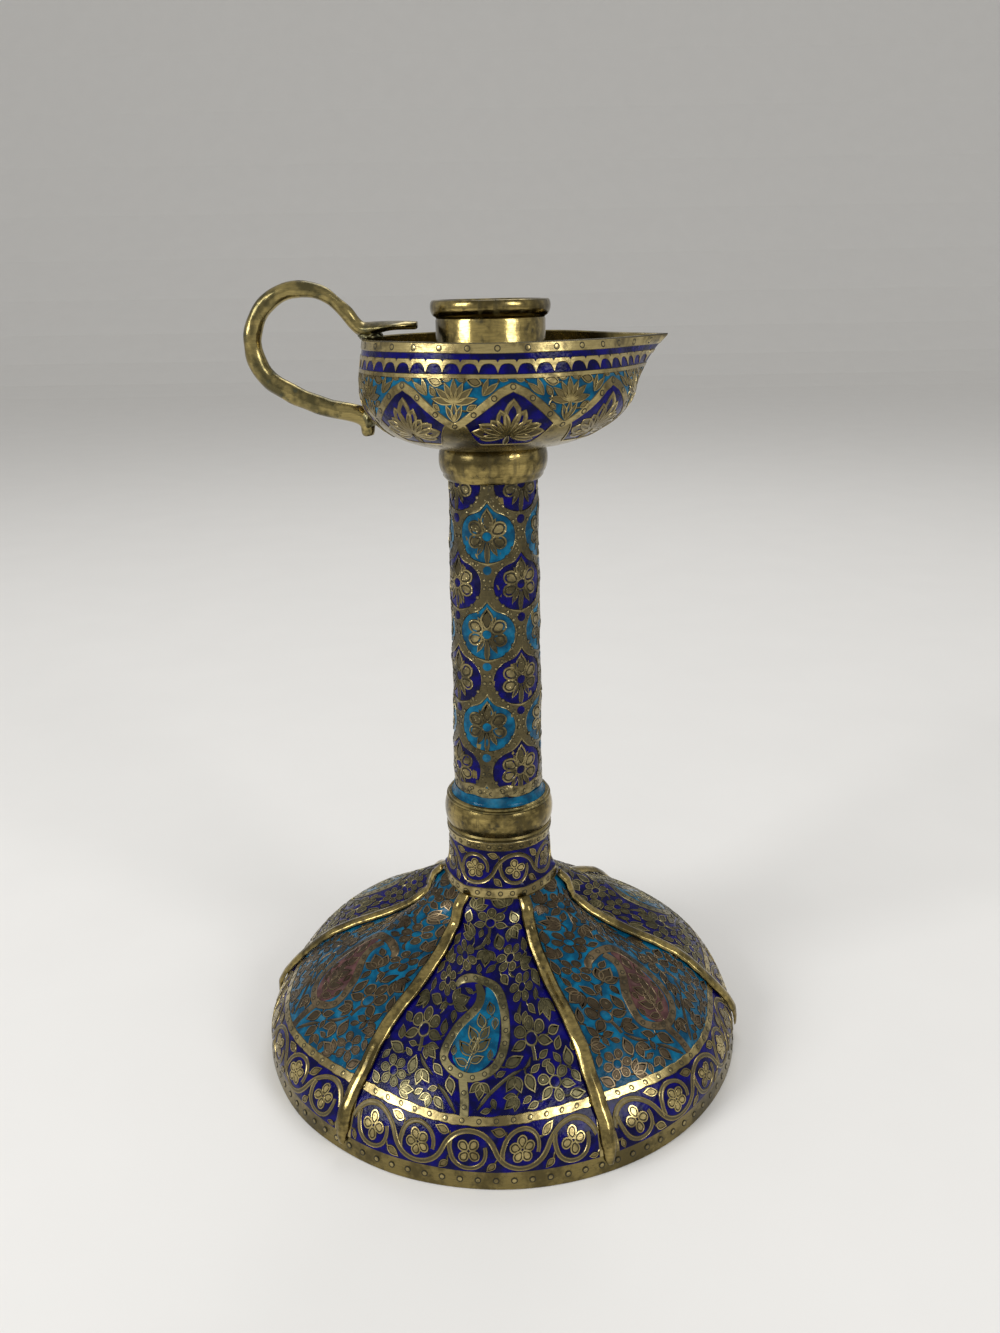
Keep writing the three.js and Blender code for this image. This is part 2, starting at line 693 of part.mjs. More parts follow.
/** The candle socket: a tube that stands on the floor of the bowl, with a rolled lip. */
function socketSolid() {
  const top = BOWL_SHEET + SOCKET_HEIGHT;
  const bulge = LIP_PROUD * 4 / 3;
  const lip = sweepCurve(
    [SOCKET_RADIUS, top - LIP_HEIGHT],
    [SOCKET_RADIUS + bulge, top - LIP_HEIGHT + LIP_ROLL],
    [SOCKET_RADIUS + bulge, top],
    [SOCKET_RADIUS + LIP_ROLL, top],
    LIP_STEPS,
  );
  return turn([
    [SOCKET_RADIUS, BOWL_SHEET],
    ...lip,
    [socketBore() + LIP_ROLL, top],
    [socketBore(), top - LIP_ROLL],
    [socketBore(), BOWL_SHEET],
  ]);
}

/** The disc that closes the foot of the socket, with the stud that holds bowl and collar to the stem. */
function socketFloorSolid() {
  const disc = socketBore() - FIT;
  return turn([
    [0, -STUD_REACH],
    [STUD_RADIUS, -STUD_REACH],
    [STUD_RADIUS, BOWL_SHEET],
    [disc, BOWL_SHEET],
    [disc, BOWL_SHEET + DISC_THICKNESS],
    [0, BOWL_SHEET + DISC_THICKNESS],
  ]);
}

/** Stations of the handle, from the nub up the loop to the tip of the leaf: place and half sizes. */
function handleStations() {
  const lerp = THREE.MathUtils.lerp;
  const wall = bowlOutline();
  const rimX = bowlShift(BOWL_DEPTH) - BOWL_RIM_RADIUS;
  const armZ = BOWL_DEPTH - ARM_DROP;
  const armX = bowlShift(armZ) - radiusAt(wall, armZ);
  const loopX = rimX - LOOP_STANDOFF;
  const loopZ = BOWL_DEPTH - LOOP_DROP;
  const tipX = -(lipRadius() + LEAF_CLEARANCE);
  const leafLength = tipX - rimX;
  const stations = [];
  const add = (x, z, halfWidth, halfThickness) => stations.push({ x, z, halfWidth, halfThickness });
  const nubX = armX - SEAT_GAP;
  add(nubX, armZ - NUB_DROP, NUB_RADIUS * NUB_TIP, NUB_RADIUS * NUB_TIP);
  add(nubX, armZ - NUB_DROP + NUB_TIP, NUB_RADIUS, NUB_RADIUS);
  add(nubX, armZ - NUB_DROP / 2, NUB_RADIUS, NUB_RADIUS);
  add(armX - ARM_LENGTH / 3, armZ - ARM_LENGTH / 3, ROD_RADIUS, ROD_RADIUS);
  add(armX - ARM_LENGTH, armZ, ROD_RADIUS, ROD_RADIUS);
  const startX = loopX + LOOP_RADIUS * Math.cos(radians(LOOP_START_ANGLE));
  const startZ = loopZ + LOOP_RADIUS * Math.sin(radians(LOOP_START_ANGLE));
  for (const share of [1 / 3, 2 / 3]) {
    const x = lerp(armX - ARM_LENGTH, startX, share);
    add(x, lerp(armZ, startZ, share ** ARM_BEND), ROD_RADIUS, ROD_RADIUS);
  }
  for (let i = 0; i <= LOOP_STEPS; i += 1) {
    const angle = radians(lerp(LOOP_START_ANGLE, LOOP_END_ANGLE, i / LOOP_STEPS));
    const radius = lerp(ROD_RADIUS, THROAT_RADIUS, smoothstep(i / LOOP_STEPS, THROAT_START, 1));
    add(loopX + LOOP_RADIUS * Math.cos(angle), loopZ + LOOP_RADIUS * Math.sin(angle), radius, radius);
  }
  const rootZ = BOWL_DEPTH + SEAT_GAP + LEAF_ROOT_THICKNESS / 2;
  const leafZ = BOWL_DEPTH + SEAT_GAP + LEAF_ROOT_THICKNESS - LEAF_THICKNESS / 2;
  const throatX = lerp(loopX + LOOP_RADIUS * Math.cos(radians(LOOP_END_ANGLE)), rimX, THROAT_START);
  add(throatX, rootZ + THROAT_RADIUS, THROAT_RADIUS, THROAT_RADIUS);
  add(rimX - SEAT_GAP, rootZ, THROAT_RADIUS * 1.5, LEAF_ROOT_THICKNESS / 2);
  for (let i = 1; i <= LEAF_STEPS; i += 1) {
    const share = i / LEAF_STEPS;
    const flat = smoothstep(share, 0, LEAF_FLAT_FROM);
    const thickness = lerp(LEAF_ROOT_THICKNESS, LEAF_THICKNESS, flat);
    const rounded = Math.cos(radians(LEAF_TIP_ANGLE) * Math.abs(share / LEAF_WIDEST - 1));
    add(rimX + leafLength * share, lerp(rootZ, leafZ, flat), LEAF_HALF_WIDTH * rounded, thickness / 2);
  }
  return stations;
}

/** The handle: a rod of changing section, cut to seat on the wall of the bowl. */
function handleSolid() {
  const stations = handleStations();
  const rings = stations.map((station, i) => {
    const before = stations[Math.max(i - 1, 0)];
    const after = stations[Math.min(i + 1, stations.length - 1)];
    const along = new THREE.Vector3(after.x - before.x, 0, after.z - before.z).normalize();
    const across = new THREE.Vector3(-along.z, 0, along.x);
    const ring = [];
    for (let k = 0; k < ROD_SIDES; k += 1) {
      const angle = (2 * Math.PI * k) / ROD_SIDES;
      const point = new THREE.Vector3(station.x, station.halfWidth * Math.sin(angle), station.z);
      point.addScaledVector(across, station.halfThickness * Math.cos(angle));
      ring.push(point);
    }
    return ring;
  });
  const outer = offset(bowlOutline(), -SEAT_GAP);
  const top = BOWL_DEPTH + SEAT_GAP / 2;
  const keepOut = turn([[0, -SEAT_GAP], ...outer, [BOWL_RIM_RADIUS, top], [0, top]], drawSpout);
  return cut(loft(rings), keepOut);
}

/** Bowl sub-assembly, standing on the upper collar. */
function makeBowl() {
  const bowl = new THREE.Group();
  bowl.position.z = BOWL_BASE;
  bowl.add(piece('bowl', bowlSolid(), enamelledBrass));
  bowl.add(piece('candle_socket', socketSolid(), plainBrass));
  bowl.add(piece('socket_floor', socketFloorSolid(), turnedBrass));
  bowl.add(piece('handle', handleSolid(), plainBrass));
  return bowl;
}

const lamp = new THREE.Group();
lamp.add(makeFoot());
lamp.add(makeStem());
lamp.add(makeBowl());

export default lamp;
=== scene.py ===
"""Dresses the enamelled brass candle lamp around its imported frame.

Ornament is modelled flat, in millimetres, as a metalworker draws it on a sheet. It is then bent onto the
turned and raised surfaces of the lamp. Azimuths are measured from the front (-Y) towards the spout (+X).
"""

import logging
import math
import random
from dataclasses import dataclass, field
from enum import Enum
from typing import Any, Callable, Sequence

import bpy
import numpy as np
from mathutils import Matrix, Vector


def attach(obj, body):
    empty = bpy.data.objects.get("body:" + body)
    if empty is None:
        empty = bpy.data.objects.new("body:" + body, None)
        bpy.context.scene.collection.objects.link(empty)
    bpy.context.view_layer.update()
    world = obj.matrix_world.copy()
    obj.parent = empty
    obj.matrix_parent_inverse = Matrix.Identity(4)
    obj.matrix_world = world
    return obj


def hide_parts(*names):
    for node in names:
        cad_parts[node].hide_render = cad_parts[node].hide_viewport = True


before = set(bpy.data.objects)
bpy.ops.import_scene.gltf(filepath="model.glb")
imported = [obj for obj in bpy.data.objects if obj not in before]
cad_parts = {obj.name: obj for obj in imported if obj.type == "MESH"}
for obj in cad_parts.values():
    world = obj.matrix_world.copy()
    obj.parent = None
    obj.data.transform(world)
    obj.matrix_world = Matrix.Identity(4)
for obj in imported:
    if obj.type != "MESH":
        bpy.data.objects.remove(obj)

LOG = logging.getLogger("candle_lamp")
MILLIMETRE = 0.001
Array = np.ndarray
Body = bpy.types.Object
Point = tuple[float, float]
Colour = tuple[float, float, float]
Pair = tuple[Array, Array]
Reshape = Callable[[Array, Array, Array], Pair]
Field = Callable[[Array, Array], Array]
Edge = float | Callable[[Array], Array]


def smooth_step(value: Array | float, low: float, high: float) -> Any:
    """Rises from 0 at low to 1 at high, with flat ends."""
    share = np.clip((np.asarray(value, float) - low) / (high - low), 0.0, 1.0)
    return share * share * (3.0 - 2.0 * share)


def spline(
    points: Sequence[Point], spacing: float = 1.0, stations: int = 0, closed: bool = False
) -> Array:
    """Draws a smooth line through points.

    Args:
        points: The points that the line passes through. A point that is given twice is a corner.
        spacing: Distance between the stations of the line, in millimetres.
        stations: Number of stations, in place of their distance.
        closed: True where the line returns to its start.

    Returns:
        The stations, one row each. A closed line ends on its first station.
    """
    knots = np.array(points, float)
    if closed:
        padded = np.vstack([knots[-1], knots, knots[0], knots[1]])
    else:
        padded = np.vstack([2 * knots[0] - knots[1], knots, 2 * knots[-1] - knots[-2]])
    dense = []
    for a, b, c, d in zip(padded, padded[1:], padded[2:], padded[3:]):
        for t in np.linspace(0.0, 1.0, 24, endpoint=False):
            bow = (2 * a - 5 * b + 4 * c - d) * t**2
            swing = (3 * b - a - 3 * c + d) * t**3
            dense.append(0.5 * (2 * b + (c - a) * t + bow + swing))
    dense.append(padded[-2])
    line = np.array(dense)
    along = np.concatenate([[0.0], np.cumsum(np.hypot(*np.diff(line, axis=0).T))])
    places = np.linspace(0.0, along[-1], stations or max(3, round(along[-1] / spacing) + 1))
    return np.stack([np.interp(places, along, line[:, k]) for k in (0, 1)], axis=1)


def bezier(start: Point, start_pull: Point, end_pull: Point, end: Point, steps: int) -> list[Point]:
    """Points of a cubic curve.

    Args:
        start: Its first point.
        start_pull: The handle that pulls it there.
        end_pull: The handle that pulls it at its end.
        end: Its last point.
        steps: Number of steps.

    Returns:
        The points, with both ends.
    """
    curve = []
    for t in np.linspace(0.0, 1.0, steps + 1):
        weights = ((1 - t) ** 3, 3 * (1 - t) ** 2 * t, 3 * (1 - t) * t * t, t**3)
        knots = (start, start_pull, end_pull, end)
        curve.append(tuple(float(sum(w * knot[k] for w, knot in zip(weights, knots))) for k in (0, 1)))
    return curve


# Materials


class Signal:
    """A number, colour or vector that flows through the nodes."""

    def __init__(self, recipe: "Nodes", socket: bpy.types.NodeSocket) -> None:
        """Wraps the output socket of a node."""
        self.recipe = recipe
        self.socket = socket

    def _maths(self, operation: str, left: Any, right: Any) -> "Signal":
        """Adds a Math node that joins two numbers."""
        return self.recipe.node("ShaderNodeMath", {"operation": operation}, {0: left, 1: right})

    def __add__(self, other: Any) -> "Signal":
        """This signal plus another."""
        return self._maths("ADD", self, other)

    def __radd__(self, other: Any) -> "Signal":
        """A number plus this signal."""
        return self._maths("ADD", other, self)

    def __sub__(self, other: Any) -> "Signal":
        """This signal less another."""
        return self._maths("SUBTRACT", self, other)

    def __rsub__(self, other: Any) -> "Signal":
        """A number less this signal."""
        return self._maths("SUBTRACT", other, self)

    def __mul__(self, other: Any) -> "Signal":
        """This signal times another."""
        return self._maths("MULTIPLY", self, other)

    def __rmul__(self, other: Any) -> "Signal":
        """A number times this signal."""
        return self._maths("MULTIPLY", other, self)

    def either(self, other: Any) -> "Signal":
        """The larger of this signal and another."""
        return self._maths("MAXIMUM", self, other)

    def stepped(self, low: float, high: float, to_low: float = 0.0, to_high: float = 1.0) -> "Signal":
        """Maps low to high onto a new range, with flat ends.

        Args:
            low: Value that maps to the start of the new range.
            high: Value that maps to its end.
            to_low: Start of the new range.
            to_high: End of the new range.

        Returns:
            The mapped signal.
        """
        return self.recipe.node(
            "ShaderNodeMapRange",
            {"interpolation_type": "SMOOTHSTEP"},
            {"Value": self, "From Min": low, "From Max": high, "To Min": to_low, "To Max": to_high},
        )


class Nodes:
    """A tree of nodes, written as expressions."""

    def __init__(self, tree: bpy.types.NodeTree) -> None:
        """Wraps the tree."""
        self.tree = tree

    def node(self, kind: str, settings: dict[str, Any], inputs: dict[Any, Any], output: Any = 0) -> Signal:
        """Adds one node.

        Args:
            kind: The node's type.
            settings: Its properties, set before its sockets.
            inputs: The values or signals of its sockets, by name or number.
            output: The output socket that is wanted, by name or number.

        Returns:
            The signal of that output.
        """
        made = self.tree.nodes.new(kind)
        for key, value in settings.items():
            setattr(made, key, value)
        self.feed(made, inputs)
        return Signal(self, made.outputs[output])

    def feed(self, node: bpy.types.Node, inputs: dict[Any, Any]) -> None:
        """Links or sets the sockets of a node.

        Args:
            node: The node.
            inputs: Values or signals, by socket.
        """
        for key, value in inputs.items():
            if isinstance(value, Signal):
                self.tree.links.new(value.socket, node.inputs[key])
            else:
                node.inputs[key].default_value = value


class Recipe(Nodes):
    """The nodes of one material."""

    def __init__(self, name: str) -> None:
        """Makes an empty material with a principled surface.

        Args:
            name: Name of the material.
        """
        self.material = bpy.data.materials.new(name)
        self.material.use_nodes = True
        super().__init__(self.material.node_tree)
        self.surface = next(n for n in self.tree.nodes if n.type == "BSDF_PRINCIPLED")
        place = self.node("ShaderNodeTexCoord", {}, {}, "Object")
        self.place = self.node(
            "ShaderNodeVectorMath", {"operation": "SCALE"}, {"Vector": place, "Scale": 1.0 / MILLIMETRE}
        )

    def noise(self, per_mm: float, detail: float = 3.0, stretch: Colour = (1.0, 1.0, 1.0)) -> Signal:
        """Cloudy variation from 0 to 1, with a number of clouds to the millimetre.

        Args:
            per_mm: Number of clouds.
            detail: Number of finer layers.
            stretch: How much finer it is along each axis.

        Returns:
            The variation.
        """
        place = self.node(
            "ShaderNodeVectorMath", {"operation": "MULTIPLY"}, {0: self.place, 1: stretch}
        )
        return self.node("ShaderNodeTexNoise", {}, {"Vector": place, "Scale": per_mm, "Detail": detail})

    def specks(self, per_mm: float) -> Signal:
        """Distance to the nearest of many scattered points."""
        return self.node("ShaderNodeTexVoronoi", {}, {"Vector": self.place, "Scale": per_mm}, "Distance")

    def mixed(self, share: Any, first: Any, second: Any) -> Signal:
        """A colour between two colours."""
        inputs = {"Factor": share, 6: self.opaque(first), 7: self.opaque(second)}
        return self.node("ShaderNodeMix", {"data_type": "RGBA"}, inputs, 2)

    def relief(self) -> Signal:
        """Height of the ornament above its ground, in millimetres, from the mesh."""
        return self.node("ShaderNodeAttribute", {"attribute_name": "relief"}, {}, "Fac")

    def bumped(self, height: Signal, depth_mm: float, strength: float = 1.0) -> Signal:
        """A normal that follows a height from 0 to 1."""
        inputs = {"Height": height, "Distance": depth_mm * MILLIMETRE, "Strength": strength}
        return self.node("ShaderNodeBump", {}, inputs)

    @staticmethod
    def opaque(colour: Any) -> Any:
        """A colour with its alpha, or a signal as it is."""
        return colour if isinstance(colour, Signal) else (*colour, 1.0)

    def finished(self, inputs: dict[str, Any]) -> bpy.types.Material:
        """Feeds the principled surface and hands over the material."""
        inputs = {key: self.opaque(v) if isinstance(v, tuple) else v for key, v in inputs.items()}
        self.feed(self.surface, inputs)
        return self.material


@dataclass(frozen=True)
class Brass:
    """Aged brass: gold where it is rubbed, brown and green where it is not.

    Attributes:
        name: Name of the finish.
        gold: Colour of the rubbed metal, and of the painted highlight on the raised rims of chased ornament.
        shade: Colour of the dull metal, and of the painted shade on the low ground of chased ornament.
        patina: Colour of the dirt and patina in the recesses, which on chased ornament also paints their
            shade.
        chased: True for ornament, whose low parts are painted dark as patina and shade, and whose raised rims
            are painted bright as wear and a highlight.
        polish: Roughness of the rubbed metal.
        chased: True for ornament, whose low parts are dark.
        worked: Depth of the marks of the hammer and the lathe, in millimetres.
        stained: Share of the surface that is stained, from 0 to 1.
        turned: Strength of the fine rings left by the lathe and the cloth.
        streaked: Share of the surface under dark streaks that run down it.
        punched: Depth of small marks of the punch all over, as a share of that of the hammer's marks.
    """

    name: str
    gold: Colour = (0.25, 0.195, 0.072)
    shade: Colour = (0.105, 0.083, 0.034)
    patina: Colour = (0.030, 0.026, 0.013)
    polish: float = 0.22
    chased: bool = False
    worked: float = 0.10
    stained: float = 0.45
    turned: float = 0.10
    streaked: float = 0.0
    punched: float = 0.0

    def material(self) -> bpy.types.Material:
        """Builds the node tree of the finish."""
        recipe = Recipe(self.name)
        clouds = recipe.noise(0.09, 4.0)
        mottle = recipe.noise(0.55, 5.0)
        rings = recipe.noise(0.35, 3.0, (1.0, 1.0, 9.0))
        dull = (clouds * 0.7 + mottle * 0.3).stepped(0.42, 0.60)
        stain_and_shade = (recipe.noise(0.30, 6.0) * 0.6 + mottle * 0.4).stepped(0.54, 0.68) * self.stained
        if self.streaked:
            streaks = recipe.noise(0.45, 4.0, (1.0, 1.0, 0.1)).stepped(0.52, 0.68, 0.0, self.streaked)
            stain_and_shade = stain_and_shade.either(streaks)
        # Chased ornament: low relief is stained dark as patina and painted shade, raised rims stay gold as
        # wear and a painted highlight, and the punched ground gets dark specks.
        if self.chased:
            depth = recipe.relief() + mottle * 0.04
            stain_and_shade = stain_and_shade.either(depth.stepped(0.07, 0.15, 1.0, 0.0))
            dull = dull.either(depth.stepped(0.19, 0.26, 0.9, 0.0))
            punched = recipe.specks(1.7).stepped(0.10, 0.30, 0.55, 0.0)
            stain_and_shade = stain_and_shade.either(punched * depth.stepped(0.19, 0.26, 1.0, 0.0))
        tone = recipe.mixed(dull, self.gold, self.shade)
        tone = recipe.mixed(rings.stepped(0.35, 0.7) * 0.35, tone, self.shade)
        tone = recipe.mixed(stain_and_shade, tone, self.patina)
        roughness = self.polish + dull * 0.06 + stain_and_shade * 0.22 + rings * 0.06
        height = clouds * 1.0 + recipe.noise(0.26, 2.0) * 0.8 + mottle * 0.12 + rings * self.turned
        if self.punched:
            height = height - recipe.specks(0.75).stepped(0.12, 0.42, self.punched, 0.0)
        return recipe.finished(
            {
                "Base Color": tone,
                "Metallic": stain_and_shade.stepped(0.0, 1.0, 1.0, 0.6),
                "Roughness": roughness,
                "Normal": recipe.bumped(height, self.worked),
            }
        )


@dataclass(frozen=True)
class Enamel:
    """Glass fused in the sunk cells: deep colour, cloudy in places, with fine pits.

    Attributes:
        name: Name of the finish.
        deep: Colour of the clear glass.
        light: Colour where the glass is thin or cloudy.
        haze: Colour of the dull skin on worn glass.
    """

    name: str
    deep: Colour
    light: Colour
    haze: Colour

    def material(self) -> bpy.types.Material:
        """Builds the node tree of the finish."""
        recipe = Recipe(self.name)
        clouds = recipe.noise(0.28, 4.0)
        ripple = recipe.noise(0.75, 3.0)
        pits = recipe.specks(1.5).stepped(0.05, 0.22, 1.0, 0.0) * recipe.noise(0.5, 2.0).stepped(0.5, 0.65)
        tone = recipe.mixed(clouds.stepped(0.38, 0.68), self.deep, self.light)
        worn = recipe.noise(0.17, 5.0).stepped(0.56, 0.80) * 0.35
        tone = recipe.mixed(worn, tone, self.haze)
        tone = recipe.mixed(pits * 0.5, tone, (0.012, 0.010, 0.014))
        height = ripple * 0.8 + recipe.noise(2.6, 3.0) * 0.16 - pits * 0.55
        return recipe.finished(
            {
                "Base Color": tone,
                "Roughness": 0.13 + worn * 0.6 + pits * 0.3,
                "Specular IOR Level": 0.10,
                "Normal": recipe.bumped(height, 0.16),
            }
        )


@dataclass(frozen=True)
class Paper:
    """The plain pale paper that the lamp stands on and before.

    Attributes:
        name: Name of the finish.
        colour: Colour of the paper.
    """

    name: str
    colour: Colour = (0.78, 0.77, 0.75)

    def material(self) -> bpy.types.Material:
        """Builds the node tree of the finish."""
        recipe = Recipe(self.name)
        fibre = recipe.noise(0.02, 3.0)
        edge = tuple(0.96 * c for c in self.colour)
        tone = recipe.mixed(fibre, self.colour, edge)
        return recipe.finished({"Base Color": tone, "Roughness": 0.85})


class Palette:
    """Every finish of the lamp, made once."""

    def __init__(self) -> None:
        """Builds the materials."""
        self.plain = Brass("plain_brass").material()
        self.rubbed = Brass(
            "rubbed_brass", gold=(0.36, 0.275, 0.098), shade=(0.090, 0.070, 0.028), polish=0.12,
            worked=0.14, stained=0.75, streaked=0.45
        ).material()
        self.forged = Brass(
            "forged_brass", gold=(0.33, 0.26, 0.10), shade=(0.10, 0.085, 0.038), patina=(0.030, 0.038, 0.022),
            polish=0.18, worked=0.16, stained=0.7
        ).material()
        self.solder = Brass(
            "solder", gold=(0.20, 0.175, 0.085), shade=(0.085, 0.085, 0.050), patina=(0.028, 0.040, 0.028),
            polish=0.36, worked=0.2, stained=0.9
        ).material()
        # The panel ornament's brass is darker than bright_chased_brass: partly its own tone, partly painted
        # shade.
        self.chased = Brass(
            "chased_brass", gold=(0.34, 0.29, 0.14), shade=(0.074, 0.067, 0.036), polish=0.27, chased=True
        ).material()
        self.bright = Brass(
            "bright_chased_brass", gold=(0.46, 0.37, 0.16), shade=(0.16, 0.125, 0.055), polish=0.18,
            chased=True, worked=0.14, stained=0.55
        ).material()
        self.brown = Brass(
            "brown_chased_brass", gold=(0.20, 0.15, 0.085), shade=(0.056, 0.041, 0.026), polish=0.28,
            chased=True
        ).material()
        self.dull = Brass(
            "dull_chased_brass", gold=(0.30, 0.245, 0.115), shade=(0.066, 0.055, 0.029), chased=True,
            worked=0.25, stained=0.8, punched=0.5
        ).material()
        self.hidden = Brass("turned_brass", gold=(0.30, 0.23, 0.09), polish=0.38, worked=0.03).material()
        self.cobalt = Enamel(
            "cobalt_enamel", (0.001, 0.001, 0.030), (0.002, 0.001, 0.105), (0.030, 0.030, 0.13)
        ).material()
        self.turquoise = Enamel(
            "turquoise_enamel", (0.001, 0.042, 0.090), (0.002, 0.108, 0.205), (0.07, 0.20, 0.27)
        ).material()
        self.plum = Enamel(
            "plum_enamel", (0.055, 0.024, 0.024), (0.11, 0.048, 0.046), (0.13, 0.10, 0.085)
        ).material()
        self.paper = Paper("pale_paper").material()


# Surfaces


@dataclass
class Surface:
    """A turned or raised surface that flat ornament is bent onto.

    Attributes:
        profile: Points of radius and height along the meridian, from below upwards, in millimetres.
        start: Length along the meridian at the first point.
        reshape: Draws turned points out to lobes, facets or a spout: takes and returns azimuth, radius and
            height, and a shift along X.
        apex: Length along the meridian at which a flat sector of the surface would close to a point, or None
            where the surface unrolls like a tube.
        unroll_radius: Radius that turns a flat width into an azimuth, or None for the radius at that place.
    """

    profile: list[Point]
    start: float = 0.0
    reshape: Reshape | None = None
    apex: float | None = None
    unroll_radius: float | None = None

    def __post_init__(self) -> None:
        """Measures the meridian."""
        self.points = np.array(self.profile, float)
        steps = np.hypot(*np.diff(self.points, axis=0).T)
        self.along = self.start + np.concatenate([[0.0], np.cumsum(steps)])

    @property
    def end(self) -> float:
        """Length along the meridian at its last point."""
        return float(self.along[-1])

    def meridian(self, along: Array) -> Pair:
        """Radius and height at lengths along the meridian."""
        return tuple(np.interp(along, self.along, self.points[:, k]) for k in (0, 1))

    def inner(self, thickness: float) -> list[Point]:
        """The inner line of a wall.

        Args:
            thickness: Thickness of the wall, in millimetres.

        Returns:
            Points of radius and height, without the two ends.
        """
        line = []
        for back, here, ahead in zip(self.points, self.points[1:], self.points[2:]):
            slope = (ahead - back) / np.linalg.norm(ahead - back)
            line.append((here[0] - thickness * slope[1], here[1] + thickness * slope[0]))
        return line

    def at_height(self, height: float) -> float:
        """Length along the meridian at a height."""
        return float(np.interp(height, self.points[:, 1], self.along))

    def place(self, azimuth: Array, along: Array) -> Array:
        """Points of the surface at azimuths in radians and lengths along the meridian.

        Args:
            azimuth: Azimuths.
            along: Lengths along the meridian.

        Returns:
            The points.
        """
        radius, height = self.meridian(along)
        shift = np.zeros_like(radius)
        if self.reshape:
            radius, shift = self.reshape(azimuth, radius, height)
        return np.stack([radius * np.sin(azimuth) + shift, -radius * np.cos(azimuth), height], axis=-1)

    def bend(self, flat: Array, azimuth: float = 0.0) -> Array:
        """Bends flat points of width, length and height onto the surface.

        Args:
            flat: Points in millimetres: across, along the meridian, and out of the surface.
            azimuth: Azimuth of the middle of the flat sheet, in degrees.

        Returns:
            The points on the lamp, in millimetres.
        """
        across, along, out = flat.T
        if self.apex is not None:
            reach = np.hypot(across, self.apex - along)
            angle = np.arctan2(across, self.apex - along)
            along = self.apex - reach
            across = angle * reach
        radius = self.unroll_radius or self.meridian(along)[0]
        return self.lay(math.radians(azimuth) + across / radius, along, out)

    def lay(self, around: Array, along: Array, out: Array) -> Array:
        """Places points on the surface and lifts them off it.

        Args:
            around: Azimuths, in radians.
            along: Lengths along the meridian.
            out: Heights above the surface.

        Returns:
            The points, in millimetres.
        """
        here = self.place(around, along)
        nudge = 0.05
        inside = np.clip(along, self.along[0] + nudge, self.along[-1] - nudge)
        up = self.place(around, inside + nudge) - self.place(around, inside - nudge)
        side = self.place(around + 0.001, along) - self.place(around - 0.001, along)
        normal = np.cross(side, up)
        normal /= np.linalg.norm(normal, axis=1, keepdims=True)
        return here + normal * out[:, None]

    def sheet_point(self, across: float, along: float) -> tuple[float, float, float]:
        """Finds a place of the surface in the flat sheet.

        Args:
            across: Place across, measured round the surface.
            along: Length along the meridian.

        Returns:
            The place in the sheet, and how far its upright leans there, in degrees.
        """
        if self.apex is None:
            return across, along, 0.0
        reach = self.apex - along
        lean = across / reach
        return reach * math.sin(lean), self.apex - reach * math.cos(lean), math.degrees(lean)


@dataclass(frozen=True)
class FootShape:
    """The dome of the foot: an ogee in six lobed panels.

    Attributes:
        radius: Radius at the table.
        rim_radius: Radius at the top of the rim band.
        rim_height: Height of the rim band.
        neck_radius: Radius under the neck.
        height: Height of the dome.
        panels: Number of panels.
        middle: Azimuth of the middle of the front panel, in degrees.
        lobe: Depth of the hollows between the panels, as a share of the radius.
        valley: How much deeper they are under the neck.
        faceting: How flat the panels are at the neck.
    """

    radius: float = 79.8
    rim_radius: float = 79.3
    rim_height: float = 5.5
    neck_radius: float = 17.8
    height: float = 57.5
    panels: int = 6
    middle: float = -7.5
    lobe: float = 0.05
    valley: float = 0.2
    faceting: float = 0.4

    def factor(self, azimuth: Array, height: Array) -> Array:
        """How far the wall stands out, as a share of its panel's middle.

        Args:
            azimuth: Azimuths, in radians.
            height: Heights, in millimetres.

        Returns:
            The shares.
        """
        step = 2.0 * math.pi / self.panels
        turned = azimuth - math.radians(self.middle)
        turned = turned - step * np.round(turned / step)
        share = height / self.height
        hollow = self.lobe * smooth_step(share, 0.05, 0.4) + self.valley * smooth_step(share, 0.5, 0.76)
        hollow = hollow * (1.0 - smooth_step(share, 0.84, 1.0))
        facets = self.faceting * smooth_step(share, 0.8, 1.0)
        between = (1.0 - np.cos(self.panels * turned)) / 2.0
        return 1.0 - hollow * between + facets * (1.0 / np.cos(turned) - 1.0)

    def reshape(self, azimuth: Array, radius: Array, height: Array) -> Pair:
        """Draws a turned point out to the panels."""
        return radius * self.factor(azimuth, height), np.zeros_like(radius)

    def surface(self) -> Surface:
        """The outer surface, measured from the top of the rim band."""
        low, high = math.radians(83.0), math.radians(143.0)
        rim, neck = (self.rim_radius, self.rim_height), (self.neck_radius, self.height)
        rim_pull = (rim[0] + 19.7 * math.cos(low), rim[1] + 19.7 * math.sin(low))
        neck_pull = (neck[0] - 24.0 * math.cos(high), neck[1] - 24.0 * math.sin(high))
        ogee = bezier(rim, rim_pull, neck_pull, neck, 60)
        start = -math.hypot(self.radius - self.rim_radius, self.rim_height)
        return Surface([(self.radius, 0.0), *ogee], start, self.reshape, apex=108.0)


